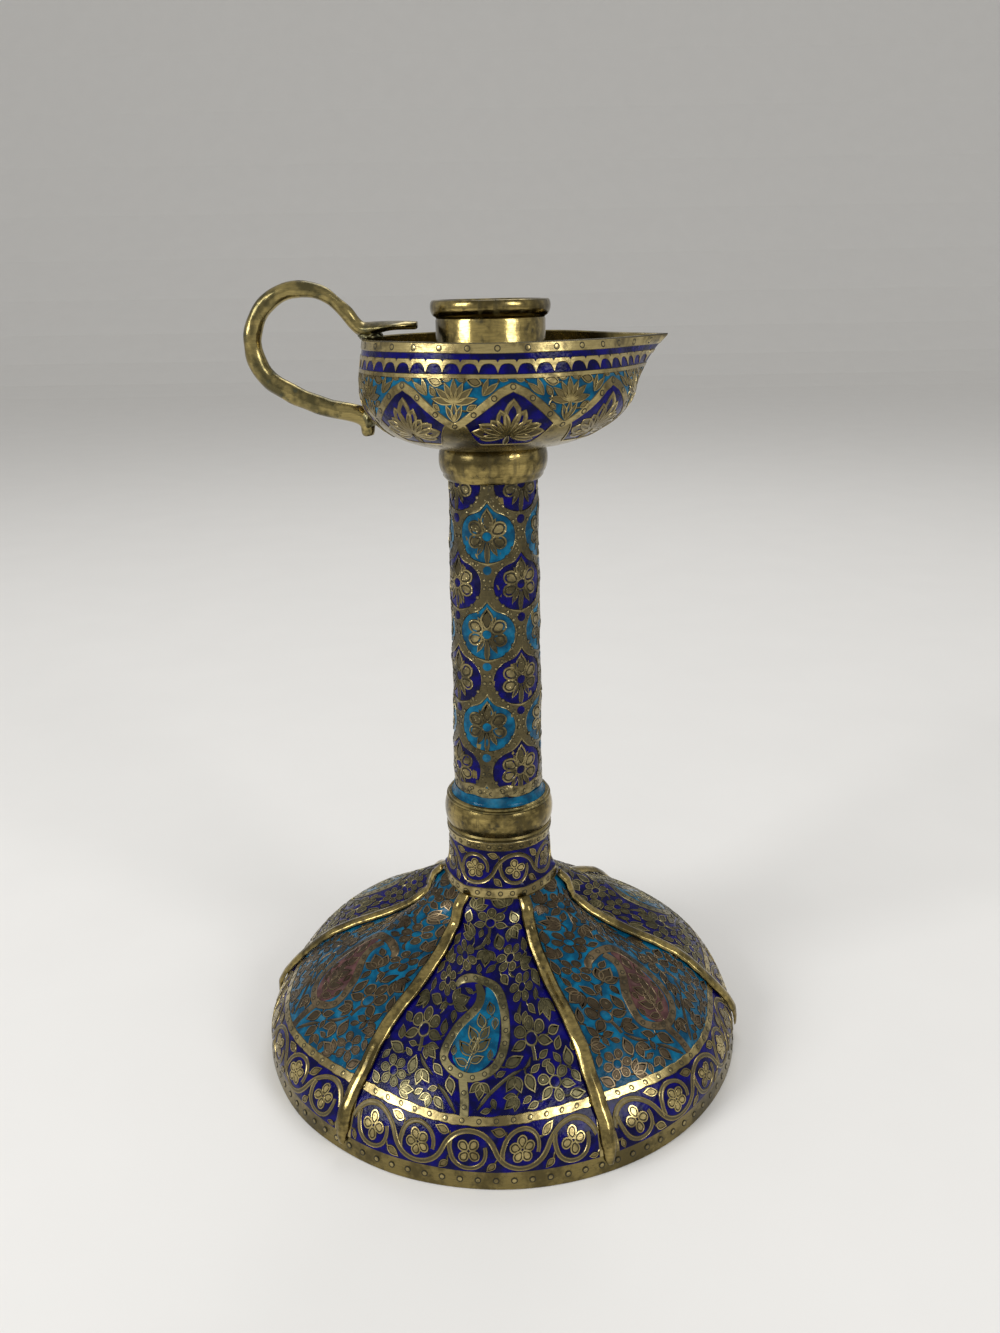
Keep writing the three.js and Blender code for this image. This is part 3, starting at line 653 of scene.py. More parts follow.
@dataclass(frozen=True)
class BowlShape:
    """The bowl: a round pan whose wall is drawn out to a spout.

    Attributes:
        base: Height of the bowl's foot above the table.
        depth: Height of the rim above the foot.
        base_radius: Radius of the foot.
        belly_radius: Largest radius of the pan.
        belly_height: Height of the belly above the foot.
        rim_radius: Radius of the rim away from the spout.
        offset: How far the middle of the rim stands towards the spout.
        reach: How far the tip stands out past the round rim.
        spout_depth: How far below the rim the spout starts.
    """

    base: float = 199.5
    depth: float = 30.5
    base_radius: float = 16.6
    belly_radius: float = 39.8
    belly_height: float = 17.0
    rim_radius: float = 38.0
    offset: float = 1.7
    reach: float = 10.9
    spout_depth: float = 16.0

    def reshape(self, azimuth: Array, radius: Array, height: Array) -> Pair:
        """Draws a turned point out to the spout.

        Args:
            azimuth: Azimuths, in radians.
            radius: Turned radii.
            height: Heights above the table.

        Returns:
            The new radii, and the shift along X.
        """
        above = height - self.base
        widest = math.acos(self.rim_radius / (self.rim_radius + self.reach))
        share = np.clip((above - self.depth + self.spout_depth) / self.spout_depth, 0.0, 1.0)
        from_spout = np.abs(np.arctan2(-np.cos(azimuth), np.sin(azimuth)))
        lean = np.maximum(0.0, widest * share**0.75 - from_spout)
        return radius / np.cos(lean), self.offset * smooth_step(above, 0.0, self.belly_height)

    def outline(self) -> list[Point]:
        """Outer outline before the spout is drawn, from the foot to the rim."""
        foot = (self.base_radius, 0.0)
        belly = (self.belly_radius, self.belly_height)
        rim = (self.rim_radius, self.depth)
        foot_pull = (foot[0] + (belly[0] - foot[0]) * 0.52, 1.0)
        lower = bezier(foot, foot_pull, (belly[0], belly[1] * 0.46), belly, 26)
        rim_pull = (belly[0] + (rim[0] - belly[0]) * 0.6, belly[1] + (rim[1] - belly[1]) * 0.65)
        upper = bezier(belly, (belly[0], belly[1] + (rim[1] - belly[1]) * 0.3), rim_pull, rim, 12)
        return [(r, z + self.base) for r, z in [*lower, *upper[1:]]]

    def surface(self) -> Surface:
        """The outer surface, measured from the foot of the bowl."""
        return Surface(self.outline(), 0.0, self.reshape, unroll_radius=self.belly_radius)


# Modelling


class Finish(Enum):
    """What a part of the flat ornament is made of."""

    BRASS = "brass"
    GLASS = "glass"
    INLAY = "inlay"


class Bench:
    """Blender's modelling tools, used on a body at a time."""

    @staticmethod
    def take(*bodies: Body) -> Body:
        """Selects bodies and nothing else, the first of them active.

        Args:
            bodies: The bodies.

        Returns:
            The first body.
        """
        bpy.ops.object.select_all(action="DESELECT")
        for body in bodies:
            body.select_set(True)
        bpy.context.view_layer.objects.active = bodies[0]
        return bodies[0]

    @staticmethod
    def start(primitive: Callable[..., Any], **sizes: Any) -> Body:
        """Adds a primitive to a clear bench.

        Args:
            primitive: The operator that adds it.
            sizes: Its sizes.

        Returns:
            The new body.
        """
        bpy.ops.object.select_all(action="DESELECT")
        primitive(**sizes)
        return bpy.context.object

    @staticmethod
    def edit(body: Body, kind: str = "VERT") -> None:
        """Opens a body in edit mode with everything selected.

        Args:
            body: The body.
            kind: VERT, EDGE or FACE.
        """
        Bench.take(body)
        bpy.ops.object.mode_set(mode="EDIT")
        bpy.ops.mesh.select_mode(type=kind)
        bpy.ops.mesh.select_all(action="SELECT")

    @staticmethod
    def pick(body: Body, kind: str, chosen: Callable[[Any], bool]) -> None:
        """Opens a body in edit mode with some of its faces or edges selected.

        Args:
            body: The body.
            kind: FACE or EDGE.
            chosen: Tells whether a face or edge is wanted.
        """
        Bench.edit(body, kind)
        bpy.ops.mesh.select_all(action="DESELECT")
        Bench.close()
        for part in body.data.edges if kind == "EDGE" else body.data.polygons:
            part.select = chosen(part)
        Bench.take(body)
        bpy.ops.object.mode_set(mode="EDIT")

    @staticmethod
    def close() -> None:
        """Leaves edit mode."""
        bpy.ops.object.mode_set(mode="OBJECT")

    @staticmethod
    def heal(body: Body, gap: float = 0.001) -> None:
        """Merges doubled vertices and turns the faces outwards.

        Args:
            body: The body.
            gap: Distance up to which vertices are merged.
        """
        Bench.edit(body)
        bpy.ops.mesh.remove_doubles(threshold=gap)
        bpy.ops.mesh.normals_make_consistent(inside=False)
        Bench.close()

    @staticmethod
    def modify(body: Body, kind: str, **settings: Any) -> None:
        """Adds a modifier and applies it.

        Args:
            body: The body.
            kind: Type of the modifier.
            settings: Its settings.
        """
        Bench.take(body)
        made = body.modifiers.new(kind.lower(), kind)
        for key, value in settings.items():
            setattr(made, key, value)
        bpy.ops.object.modifier_apply(modifier=made.name)


class Flat:
    """A mesh in millimetres. Ornament lies in XY, with its relief along Z, until it is bent."""

    def __init__(self, body: Body) -> None:
        """Wraps a mesh object."""
        self.body = body

    def points(self) -> Array:
        """The vertices, one row each."""
        found = np.empty(len(self.body.data.vertices) * 3, np.float32)
        self.body.data.vertices.foreach_get("co", found)
        return found.reshape(-1, 3).astype(float)

    def moved(self, points: Array) -> "Flat":
        """Gives the vertices new places.

        Args:
            points: The places.

        Returns:
            This mesh.
        """
        self.body.data.vertices.foreach_set("co", points.astype(np.float32).ravel())
        self.body.data.update()
        return self

    def moved_up(self, height: float) -> "Flat":
        """Lifts the mesh off the sheet."""
        return self.moved(self.points() + (0.0, 0.0, height))

    def marked(self, dark: float = 0.0, bright: float = 0.3) -> "Flat":
        """Keeps the height of each vertex as its relief, from a dark height to a bright one.

        Args:
            dark: Height that is as dark as the ground: dirty, and painted with shade.
            bright: Height that is rubbed clean and painted with a highlight.

        Returns:
            This mesh.
        """
        relief = np.interp(self.points()[:, 2], (dark, bright), (0.0, 0.3))
        kept = self.body.data.attributes.new("relief", "FLOAT", "POINT")
        kept.data.foreach_set("value", relief.astype(np.float32))
        return self

    def copied(
        self, x: float = 0.0, y: float = 0.0, turn: float = 0.0, scale: float = 1.0, side: int = 1
    ) -> "Flat":
        """Makes a copy with its own mesh.

        Args:
            x: Place of the copy across.
            y: Place of the copy along.
            turn: Turn against the clock, in degrees.
            scale: Size of the copy.
            side: -1 for a mirrored copy.

        Returns:
            The copy.
        """
        body = self.body.copy()
        body.data = self.body.data.copy()
        bpy.context.collection.objects.link(body)
        points = self.points()
        points[:, 0] *= side
        cos, sin = math.cos(math.radians(turn)) * scale, math.sin(math.radians(turn)) * scale
        across, along = points[:, 0].copy(), points[:, 1].copy()
        points[:, 0] = across * cos - along * sin + x
        points[:, 1] = across * sin + along * cos + y
        if side < 0:
            body.data.flip_normals()
        return Flat(body).moved(points)

    def spoke(self, angle: float, reach: float, scale: float = 1.0, x: float = 0.0, y: float = 0.0) -> "Flat":
        """Makes a copy that points away from a place.

        Args:
            angle: Direction, in degrees from the top.
            reach: Distance from the place to the foot of the copy.
            scale: Size of the copy.
            x: The place across.
            y: The place along.

        Returns:
            The copy.
        """
        lean = math.radians(angle)
        return self.copied(x - reach * math.sin(lean), y + reach * math.cos(lean), angle, scale)

    @staticmethod
    def joined(parts: Sequence["Flat"]) -> "Flat":
        """Joins parts into one mesh.

        Args:
            parts: The parts, which the mesh takes in.

        Returns:
            The mesh.
        """
        body = Bench.take(*[part.body for part in parts])
        if len(parts) > 1:
            bpy.ops.object.join()
        return Flat(body)

    def trimmed(self, low: float, high: float) -> "Flat":
        """Cuts away what lies below one height of the sheet and above another.

        Args:
            low: The lower height.
            high: The upper height.

        Returns:
            This mesh.
        """
        for place, direction in ((low, -1.0), (high, 1.0)):
            Bench.edit(self.body, "FACE")
            bpy.ops.mesh.bisect(plane_co=(0, place, 0), plane_no=(0, direction, 0), clear_outer=True)
            Bench.close()
        return self

    def discarded(self) -> None:
        """Throws the mesh away."""
        bpy.data.objects.remove(self.body)


@dataclass(frozen=True)
class Motif:
    """A chased shape: an outline raised from the sheet and stepped inwards.

    Attributes:
        outline: Points that the outline passes through. A point that is given twice is a corner.
        corners: Number of corners that the outline is modelled with.
        steps: Width and rise of each step inwards.
        foot: Height of the underside.
        wall: Height of the top of the outer wall.
        dark: Height that is as dark as the ground: dirty, and painted with shade.
        bright: Height that is rubbed clean and painted with a highlight.
    """

    outline: tuple[Point, ...]
    corners: int
    steps: tuple[tuple[float, float], ...]
    foot: float = -0.08
    wall: float = 0.03
    dark: float = 0.0
    bright: float = 0.3

    def made(self) -> Flat:
        """Models the shape."""
        body = Bench.start(
            bpy.ops.mesh.primitive_circle_add, vertices=self.corners, radius=1.0, fill_type="NGON"
        )
        line = spline(self.outline, stations=self.corners + 1, closed=True)[:-1]
        flat = Flat(body).moved(np.column_stack([line, np.full(self.corners, self.foot)]))
        Bench.edit(body, "FACE")
        bpy.ops.mesh.extrude_region_move(TRANSFORM_OT_translate={"value": (0, 0, self.wall - self.foot)})
        for width, rise in self.steps:
            bpy.ops.mesh.inset(thickness=width, depth=0.0, use_even_offset=False)
            bpy.ops.transform.translate(value=(0, 0, rise))
        bpy.ops.mesh.select_all(action="SELECT")
        bpy.ops.mesh.normals_make_consistent(inside=False)
        Bench.close()
        return flat.marked(self.dark, self.bright)


@dataclass(frozen=True)
class Section:
    """Cross-section of a chased band, as a closed loop.

    Attributes:
        loop: Place of each point from the left edge (-1) to the right (1), its distance in, and its height.
    """

    loop: tuple[tuple[float, float, float], ...]

    def swept(
        self, line: Array, half_width: Any, upright: bool = False, capped: bool = True
    ) -> Flat:
        """Draws the band along a line.

        Args:
            line: Stations of the middle of the band.
            half_width: Half of the band's width, one number or one for each station.
            upright: True where the width is measured along the sheet's height instead of across the line.
            capped: True where the ends of an open band are closed.

        Returns:
            The band.
        """
        rows, columns = len(line), len(self.loop)
        body = Bench.start(
            bpy.ops.mesh.primitive_grid_add, x_subdivisions=columns, y_subdivisions=rows - 1, size=2.0
        )
        flat = Flat(body)
        grid = flat.points()
        column = np.rint((grid[:, 0] + 1) / 2 * columns).astype(int) % columns
        row = np.rint((grid[:, 1] + 1) / 2 * (rows - 1)).astype(int)
        closed = bool(np.allclose(line[0], line[-1]))
        ahead = np.gradient(line, axis=0)
        if closed:
            ahead[0] = ahead[-1] = line[1] - line[-2]
        across = np.stack([-ahead[:, 1], ahead[:, 0]], axis=1)
        across /= np.linalg.norm(across, axis=1, keepdims=True)
        if upright:
            across[:] = (0.0, 1.0)
        sides, insets, heights = (np.array(values, float) for values in zip(*self.loop))
        widths = np.broadcast_to(np.asarray(half_width, float), (rows,))
        offset = sides[column] * np.maximum(0.0, widths[row] - insets[column])
        places = line[row] + across[row] * offset[:, None]
        flat.moved(np.column_stack([places, heights[column]])).marked()
        Bench.edit(body)
        bpy.ops.mesh.remove_doubles(threshold=0.0005)
        if capped and not closed:
            bpy.ops.mesh.select_all(action="DESELECT")
            bpy.ops.mesh.select_non_manifold()
            bpy.ops.mesh.fill_holes(sides=0)
            bpy.ops.mesh.select_all(action="SELECT")
        bpy.ops.mesh.normals_make_consistent(inside=False)
        Bench.close()
        return flat

    def hooped(self, stations: Array, heights: Any, half_width: Any) -> Flat:
        """Draws the band round the lamp, its width measured along the sheet's height.

        Args:
            stations: Places across, in millimetres.
            heights: Height of its middle, one number or one for each station.
            half_width: Half of its width, one number or one for each station.

        Returns:
            The band, open at its ends, which meet round the lamp.
        """
        line = np.column_stack([stations, np.broadcast_to(heights, stations.shape)])
        return self.swept(line, half_width, upright=True, capped=False)


VINE = Section((
    (-1, 0, -0.08), (-1, 0.1, 0.03), (-1, 0.26, 0.24), (-0.3, 0, 0.08),
    (0.3, 0, 0.08), (1, 0.26, 0.24), (1, 0.1, 0.03), (1, 0, -0.08),
))
BAND = Section((
    (-1, 0, -0.08), (-1, 0.1, 0.03), (-1, 0.32, 0.23), (1, 0.32, 0.23), (1, 0.1, 0.03), (1, 0, -0.08),
))
RIDGE = Section((
    (-1, 0, -0.08), (-1, 0.08, 0.03), (-1, 0.26, 0.25), (1, 0.26, 0.25), (1, 0.08, 0.03), (1, 0, -0.08),
))
POOL = Section((
    (-1, 0, -0.08), (-1, 0.05, 0.12), (-1, 0.6, 0.10), (-0.75, 0.4, 0.1), (-0.5, 0.2, 0.1), (-0.25, 0, 0.1),
    (0, 0, 0.1), (0.25, 0, 0.1), (0.5, 0.2, 0.1), (0.75, 0.4, 0.1), (1, 0.6, 0.10), (1, 0.05, 0.12),
    (1, 0, -0.08), (0.5, 0, -0.08), (0, 0, -0.08), (-0.5, 0, -0.08),
))


class Drawing:
    """Flat ornament in its finishes."""

    def __init__(self) -> None:
        """Starts an empty sheet."""
        self.parts: dict[Finish, list[Flat]] = {finish: [] for finish in Finish}

    def add(self, finish: Finish, *parts: Flat) -> "Drawing":
        """Adds new parts as they are."""
        self.parts[finish].extend(parts)
        return self

    def brass(self, *parts: Flat) -> "Drawing":
        """Adds chased shapes."""
        return self.add(Finish.BRASS, *parts)

    def vine(self, points: Sequence[Point], half_width: float, spacing: float = 1.2) -> None:
        """Draws a vine through points, with drawn-out tips.

        Args:
            points: The points.
            half_width: Half of its width, in millimetres.
            spacing: Distance between its stations.
        """
        line = spline(points, spacing)
        from_tip = np.minimum(np.arange(len(line)), np.arange(len(line))[::-1])
        self.brass(VINE.swept(line, half_width * np.minimum(1.0, 0.45 + 0.3 * from_tip)))

    def stamp(self, other: "Drawing", x: float, y: float, turn: float = 0.0, scale: float = 1.0) -> None:
        """Adds a copy of another drawing at a place, turn and size."""
        for finish, parts in other.parts.items():
            self.parts[finish].extend(part.copied(x, y, turn, scale) for part in parts)

    def fill(
        self, leaf: Flat, room: "Room", gap: float, lengths: Sequence[float], broad: float = 0.26
    ) -> None:
        """Fills the empty places with leaves, the largest first.

        Args:
            leaf: The leaf, 5 mm long, with its foot at the origin.
            room: The field that the leaves may stand in.
            gap: Width of enamel to leave between shapes, in millimetres.
            lengths: Lengths of leaf to try, the longest first.
            broad: Half of the leaf's width as a share of its length.
        """
        for part in self.parts[Finish.BRASS]:
            room.take_up(part.points()[:, :2])
        for length in lengths:
            while True:
                found = room.widest(length, gap, broad)
                if found is None:
                    break
                x, y, turn = found
                lean = math.radians(turn)
                half = np.array([math.sin(lean), -math.cos(lean)]) * length / 2
                middle = np.array([x, y])
                if room.nearest(middle - half)[0] < room.nearest(middle + half)[0]:
                    half, turn = -half, turn + 180.0
                foot = middle + half
                away, root = room.nearest(foot)
                placed = leaf.copied(*foot, turn, length / 5.0)
                room.take_up(placed.points()[:, :2])
                self.brass(placed)
                if away < 3.0:
                    bow = (root + foot) / 2 + np.array([foot[1] - root[1], root[0] - foot[0]]) * 0.2
                    ahead = (foot - root) / away * 0.5
                    line = spline([root - ahead * 0.7, bow, foot + ahead], stations=6)
                    self.brass(VINE.swept(line, 0.4))

    def sealed(self) -> "Drawing":
        """Joins the parts of each finish into one mesh."""
        self.parts = {finish: [Flat.joined(parts)] if parts else [] for finish, parts in self.parts.items()}
        return self

    def discarded(self) -> None:
        """Throws the parts away."""
        for parts in self.parts.values():
            for part in parts:
                part.discarded()

    def bent(self, surface: Surface, *places: tuple[float, int]) -> dict[Finish, list[Flat]]:
        """Bends copies of the parts onto a surface.

        Args:
            surface: The surface.
            places: For each copy, the azimuth of its middle in degrees, and -1 for a mirrored copy or 1.

        Returns:
            The bent parts of each finish.
        """
        bent: dict[Finish, list[Flat]] = {finish: [] for finish in Finish}
        for azimuth, side in places:
            for finish, parts in self.parts.items():
                for part in parts:
                    copy = part.copied(side=side)
                    bent[finish].append(copy.moved(surface.bend(copy.points(), azimuth)))
        return bent


class Room:
    """The free room in a field of enamel, kept as distances on a fine grid."""

    def __init__(self, low: Point, high: Point, inside: Field) -> None:
        """Lays the grid.

        Args:
            low: Lower left corner of the grid, in millimetres.
            high: Upper right corner.
            inside: Distance of places to the edge of the field; less than 0 outside it.
        """
        self.step = 0.6
        self.low = np.array(low)
        xs = np.arange(low[0], high[0], self.step)
        ys = np.arange(low[1], high[1], self.step)
        self.x, self.y = np.meshgrid(xs, ys)
        self.free = inside(self.x, self.y)
        self.used = np.empty((0, 2))

    def nearest(self, place: Array) -> tuple[float, Array]:
        """Distance from a place to the nearest used room, and where that is."""
        away = np.hypot(*(self.used - place).T)
        return float(away.min()), self.used[int(np.argmin(away))]

    def take_up(self, points: Array) -> None:
        """Marks the room round points as used.

        Args:
            points: The points, in millimetres.
        """
        cells = np.unique(np.round(points / 0.45).astype(int), axis=0) * 0.45
        self.used = np.vstack([self.used, cells])
        for start in range(0, len(cells), 200):
            batch = cells[start : start + 200]
            far = np.hypot(self.x[..., None] - batch[:, 0], self.y[..., None] - batch[:, 1]).min(axis=-1)
            self.free = np.minimum(self.free, far)

    def widest(self, length: float, gap: float, broad: float) -> tuple[float, float, float] | None:
        """Finds the place and turn at which a leaf of a length has the most room.

        Args:
            length: Length of the leaf, in millimetres.
            gap: Least distance to other shapes.
            broad: Half of the leaf's width as a share of its length.

        Returns:
            Its middle and its turn in degrees, or None where it has no room.
        """
        best: tuple[float, float, float] | None = None
        most = 0.0
        rows, columns = self.free.shape
        for turn in range(0, 180, 15):
            sway, rise = math.sin(math.radians(turn)) * length, math.cos(math.radians(turn)) * length
            slack = np.full(self.free.shape, np.inf)
            for share in (-0.5, -0.25, 0.0, 0.25, 0.5):
                column = np.rint((self.x - sway * share - self.low[0]) / self.step)
                row = np.rint((self.y + rise * share - self.low[1]) / self.step)
                column = np.clip(column, 0, columns - 1).astype(int)
                row = np.clip(row, 0, rows - 1).astype(int)
                need = gap + broad * length * (1.0 - (2.0 * share) ** 2)
                slack = np.minimum(slack, self.free[row, column] - need)
            place = np.unravel_index(np.argmax(slack), slack.shape)
            if slack[place] > most:
                most = float(slack[place])
                best = (float(self.x[place]), float(self.y[place]), float(turn))
        return best


def ring(radius: float, corners: int) -> tuple[Point, ...]:
    """Points of a circle."""
    turns = np.linspace(0.0, 2.0 * math.pi, corners, endpoint=False)
    return tuple((radius * math.sin(t), radius * math.cos(t)) for t in turns)


def mirrored(half: Sequence[Point]) -> tuple[Point, ...]:
    """An outline from its left half, which runs from the base to the tip; both ends are corners."""
    right = [(-x, y) for x, y in reversed(half[1:-1])]
    return (half[0], half[0], *half[1:-1], half[-1], half[-1], *right)


class Garden:
    """The chased shapes that the ornament is drawn with, each modelled once."""

    PETAL = mirrored([(0.0, 0.0), (-0.95, 0.4), (-1.72, 1.8), (-1.6, 3.1), (-0.75, 3.95), (0.0, 4.15)])
    BLADE = mirrored([(0.0, 0.0), (-1.0, 0.75), (-1.5, 2.1), (-1.1, 3.5), (0.0, 5.0)])
    SPOON = mirrored([(0.0, 0.0), (-0.55, 0.8), (-1.05, 2.6), (-0.85, 4.1), (0.0, 5.0)])
    REED = mirrored([(0.0, 0.0), (-0.55, 0.9), (-0.82, 2.4), (-0.6, 3.8), (0.0, 5.0)])
    CHASED = ((0.1, 0.21), (0.3, 0.0), (0.07, -0.17), (0.17, 0.0), (0.07, 0.10))
    RINGED = ((0.1, 0.21), (0.36, 0.0), (0.1, -0.18), (0.26, 0.0), (0.1, 0.17))

    def __init__(self) -> None:
        """Models the masters."""
        # The punch mark is a disc nearly flush with its band: its ring is painted dark for the shade and dirt
        # of a punched groove, and its centre painted bright as a highlight.
        self.dot = Motif(ring(1.0, 10), 10, ((0.34, 0.0), (0.08, 0.016)), 0.1, 0.262, 0.262, 0.276).made()
        petal = Motif(self.PETAL, 16, self.CHASED).made()
        self.petal = Flat.joined([petal, self.dot.copied(0.0, 2.45, scale=0.55).moved_up(-0.085)])
        self.ringed = Motif(self.PETAL, 16, self.RINGED).made()
        self.blade = Motif(self.BLADE, 14, self.CHASED).made()
        leaves = ((0.0, 0.0, 0, 1.04), (-0.25, 0.2, 36, 0.8), (0.25, 0.2, -36, 0.8))
        self.lobed = Flat.joined([self.blade.copied(*place) for place in leaves])
        self.reed = Motif(self.REED, 12, ((0.08, 0.21), (0.22, 0.0), (0.06, -0.14), (0.1, 0.0))).made()
        self.spoon = Motif(self.SPOON, 14, ((0.08, 0.21), (0.26, 0.0), (0.07, -0.14), (0.1, 0.0))).made()
        self.iris = Motif(ring(1.5, 12), 12, ((0.4, 0.05), (0.5, 0.03)), wall=0.08).made()
        self.eyelid = RIDGE.swept(spline(ring(1.82, 12), stations=17, closed=True), 0.42)
        self.fan = self._flower([-54, 0, 54], [-107, 107], stalk=True)
        self.rose = self._flower([20 + 60 * k for k in range(6)], [], stalk=False)
        self.bloom = self._flower([-58, 58, 176], [0, -118, 118], stalk=False)
        self.sprig = self._sprig([(-44, 0.95), (0, 1.1), (44, 0.95)])
        self.pair = self._sprig([(-26, 1.1), (26, 1.1)])
        self.leaf = Drawing().brass(self.blade.copied(scale=0.9))

    def _flower(self, petals: Sequence[float], blades: Sequence[float], stalk: bool) -> Drawing:
        """Sets petals and pointed leaves round an enamelled eye.

        Args:
            petals: Angles of the petals from the top, in degrees.
            blades: Angles of the pointed leaves.
            stalk: True for a flower on a stalk.

        Returns:
            The flower.
        """
        flower = Drawing()
        flower.brass(*[self.petal.spoke(angle, 1.7) for angle in petals])
        flower.brass(*[self.blade.spoke(angle, 1.75, 1.02) for angle in blades])
        if stalk:
            line = spline([(0.0, -2.0), (0.1, -3.8), (0.0, -5.8)], stations=6)
            flower.brass(VINE.swept(line, 0.66))
        flower.brass(self.eyelid.copied())
        flower.add(Finish.GLASS, self.iris.copied())
        return flower.sealed()

    def _sprig(self, blades: Sequence[tuple[float, float]]) -> Drawing:
        """Sets leaves on one point, at angles and sizes."""
        return Drawing().brass(*[self.blade.spoke(angle, 0.0, scale) for angle, scale in blades]).sealed()

    def tidied(self) -> None:
        """Throws the masters away."""
        for made in vars(self).values():
            made.discarded()


def unevenness(points: Array) -> Array:
    """Shifts points by the slight unevenness of handwork, the same for all that lies on one place.

    Args:
        points: The points, in millimetres.

    Returns:
        The shifted points.
    """
    rng = random.Random(11)
    shift = np.zeros_like(points)
    for _ in range(7):
        wave = np.array([rng.uniform(-1, 1) for _ in range(3)]) * 0.16
        push = np.array([rng.uniform(-1, 1) for _ in range(3)]) * 0.075
        shift += np.sin(points @ wave + rng.uniform(0, 6.28))[:, None] * push
    shift[:, 2] *= smooth_step(points[:, 2], 0.0, 6.0)
    return points + shift


@dataclass
class SubAssembly:
    """What every part of the lamp shares: its finishes, its shapes and how a piece is finished.

    Attributes:
        palette: The finishes.
        garden: The chased shapes.
    """

    palette: Palette
    garden: Garden

    def finish(
        self,
        piece: Flat,
        name: str,
        material: bpy.types.Material,
        replaced: Sequence[str] = (),
        slot: str = "enamelled_brass",
        smooth: float = 38.0,
    ) -> Body:
        """slot: The record's slot that the finish belongs to; not used.
            smooth: Angle up to which edges look rounded, in degrees.

        Returns:
            The finished object.
        """
        piece.moved(unevenness(piece.points()) * MILLIMETRE)
        body = Bench.take(piece.body)
        bpy.ops.object.shade_smooth_by_angle(angle=math.radians(smooth))
        body.name = name
        body.data.name = name
        body.data.materials.clear()
        body.data.materials.append(material)
        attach(body, "root")
        if replaced:
            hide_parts(*replaced)
        LOG.info("%s: %d faces", name, len(body.data.polygons))
        return body

    @staticmethod
    def carried(name: str, kind: str) -> Flat:
        """Copies a CAD node as a finer mesh in millimetres.

        Args:
            name: Name of the node.
            kind: How its faces are divided: SIMPLE or CATMULL_CLARK.

        Returns:
            The copy.
        """
        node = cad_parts[name]
        body = node.copy()
        body.data = node.data.copy()
        body.parent = None
        bpy.context.collection.objects.link(body)
        for key in list(body.keys()):
            del body[key]
        Bench.heal(body, 0.000001)
        Bench.modify(body, "SUBSURF", subdivision_type=kind, levels=2, render_levels=2)
        flat = Flat(body)
        return flat.moved(flat.points() / MILLIMETRE)

    @staticmethod
    def turned(
        section: Sequence[Point],
        steps: int,
        reshape: Reshape | None = None,
    ) -> Flat:
        """Turns a closed section about the axis of the lamp.

        Args:
            section: Points of radius and height, in millimetres.
            steps: Number of steps round the axis.
            reshape: Draws the turned points out, as for a surface.

        Returns:
            The closed body.
        """
        body = Bench.start(bpy.ops.mesh.primitive_circle_add, vertices=len(section), fill_type="NOTHING")
        flat = Flat(body).moved(np.array([(r, 0.0, z) for r, z in section]))
        Bench.edit(body)
        bpy.ops.mesh.spin(steps=steps, angle=2.0 * math.pi, center=(0, 0, 0), axis=(0, 0, 1))
        Bench.close()
        Bench.heal(body)
        if reshape:
            points = flat.points()
            azimuth = np.arctan2(points[:, 0], -points[:, 1])
            radius, shift = reshape(azimuth, np.hypot(points[:, 0], points[:, 1]), points[:, 2])
            points[:, 0] = radius * np.sin(azimuth) + shift
            points[:, 1] = -radius * np.cos(azimuth)
            flat.moved(points)
        return flat

    @staticmethod
    def glazed(
        surface: Surface,
        azimuths: tuple[float, float],
        low: Edge,
        high: Edge,
        columns: int,
        rows: int,
        height: float = 0.02,
    ) -> Flat:
        """Lays a skin of enamel on a surface.

        Args:
            surface: The surface.
            azimuths: Azimuths of its sides, in degrees.
            low: Length along the meridian of its lower edge, or its length at azimuths in degrees.
            high: The same for its upper edge.
            columns: Number of faces across.
            rows: Number of faces along.
            height: Height of the skin above the surface, in millimetres.

        Returns:
            The skin, with its thickness.
        """
        body = Bench.start(
            bpy.ops.mesh.primitive_grid_add, x_subdivisions=columns, y_subdivisions=rows, size=2.0
        )
        flat = Flat(body)
        grid = (flat.points() + 1.0) / 2.0
        azimuth = azimuths[0] + (azimuths[1] - azimuths[0]) * grid[:, 0]
        bottom, top = (edge(azimuth) if callable(edge) else edge for edge in (low, high))
        along = bottom + (top - bottom) * grid[:, 1]
        flat.moved(surface.lay(np.radians(azimuth), along, np.full(len(grid), height)))
        Bench.modify(body, "SOLIDIFY", thickness=0.3, offset=-1.0)
        Bench.heal(body)
        return flat


# Foot


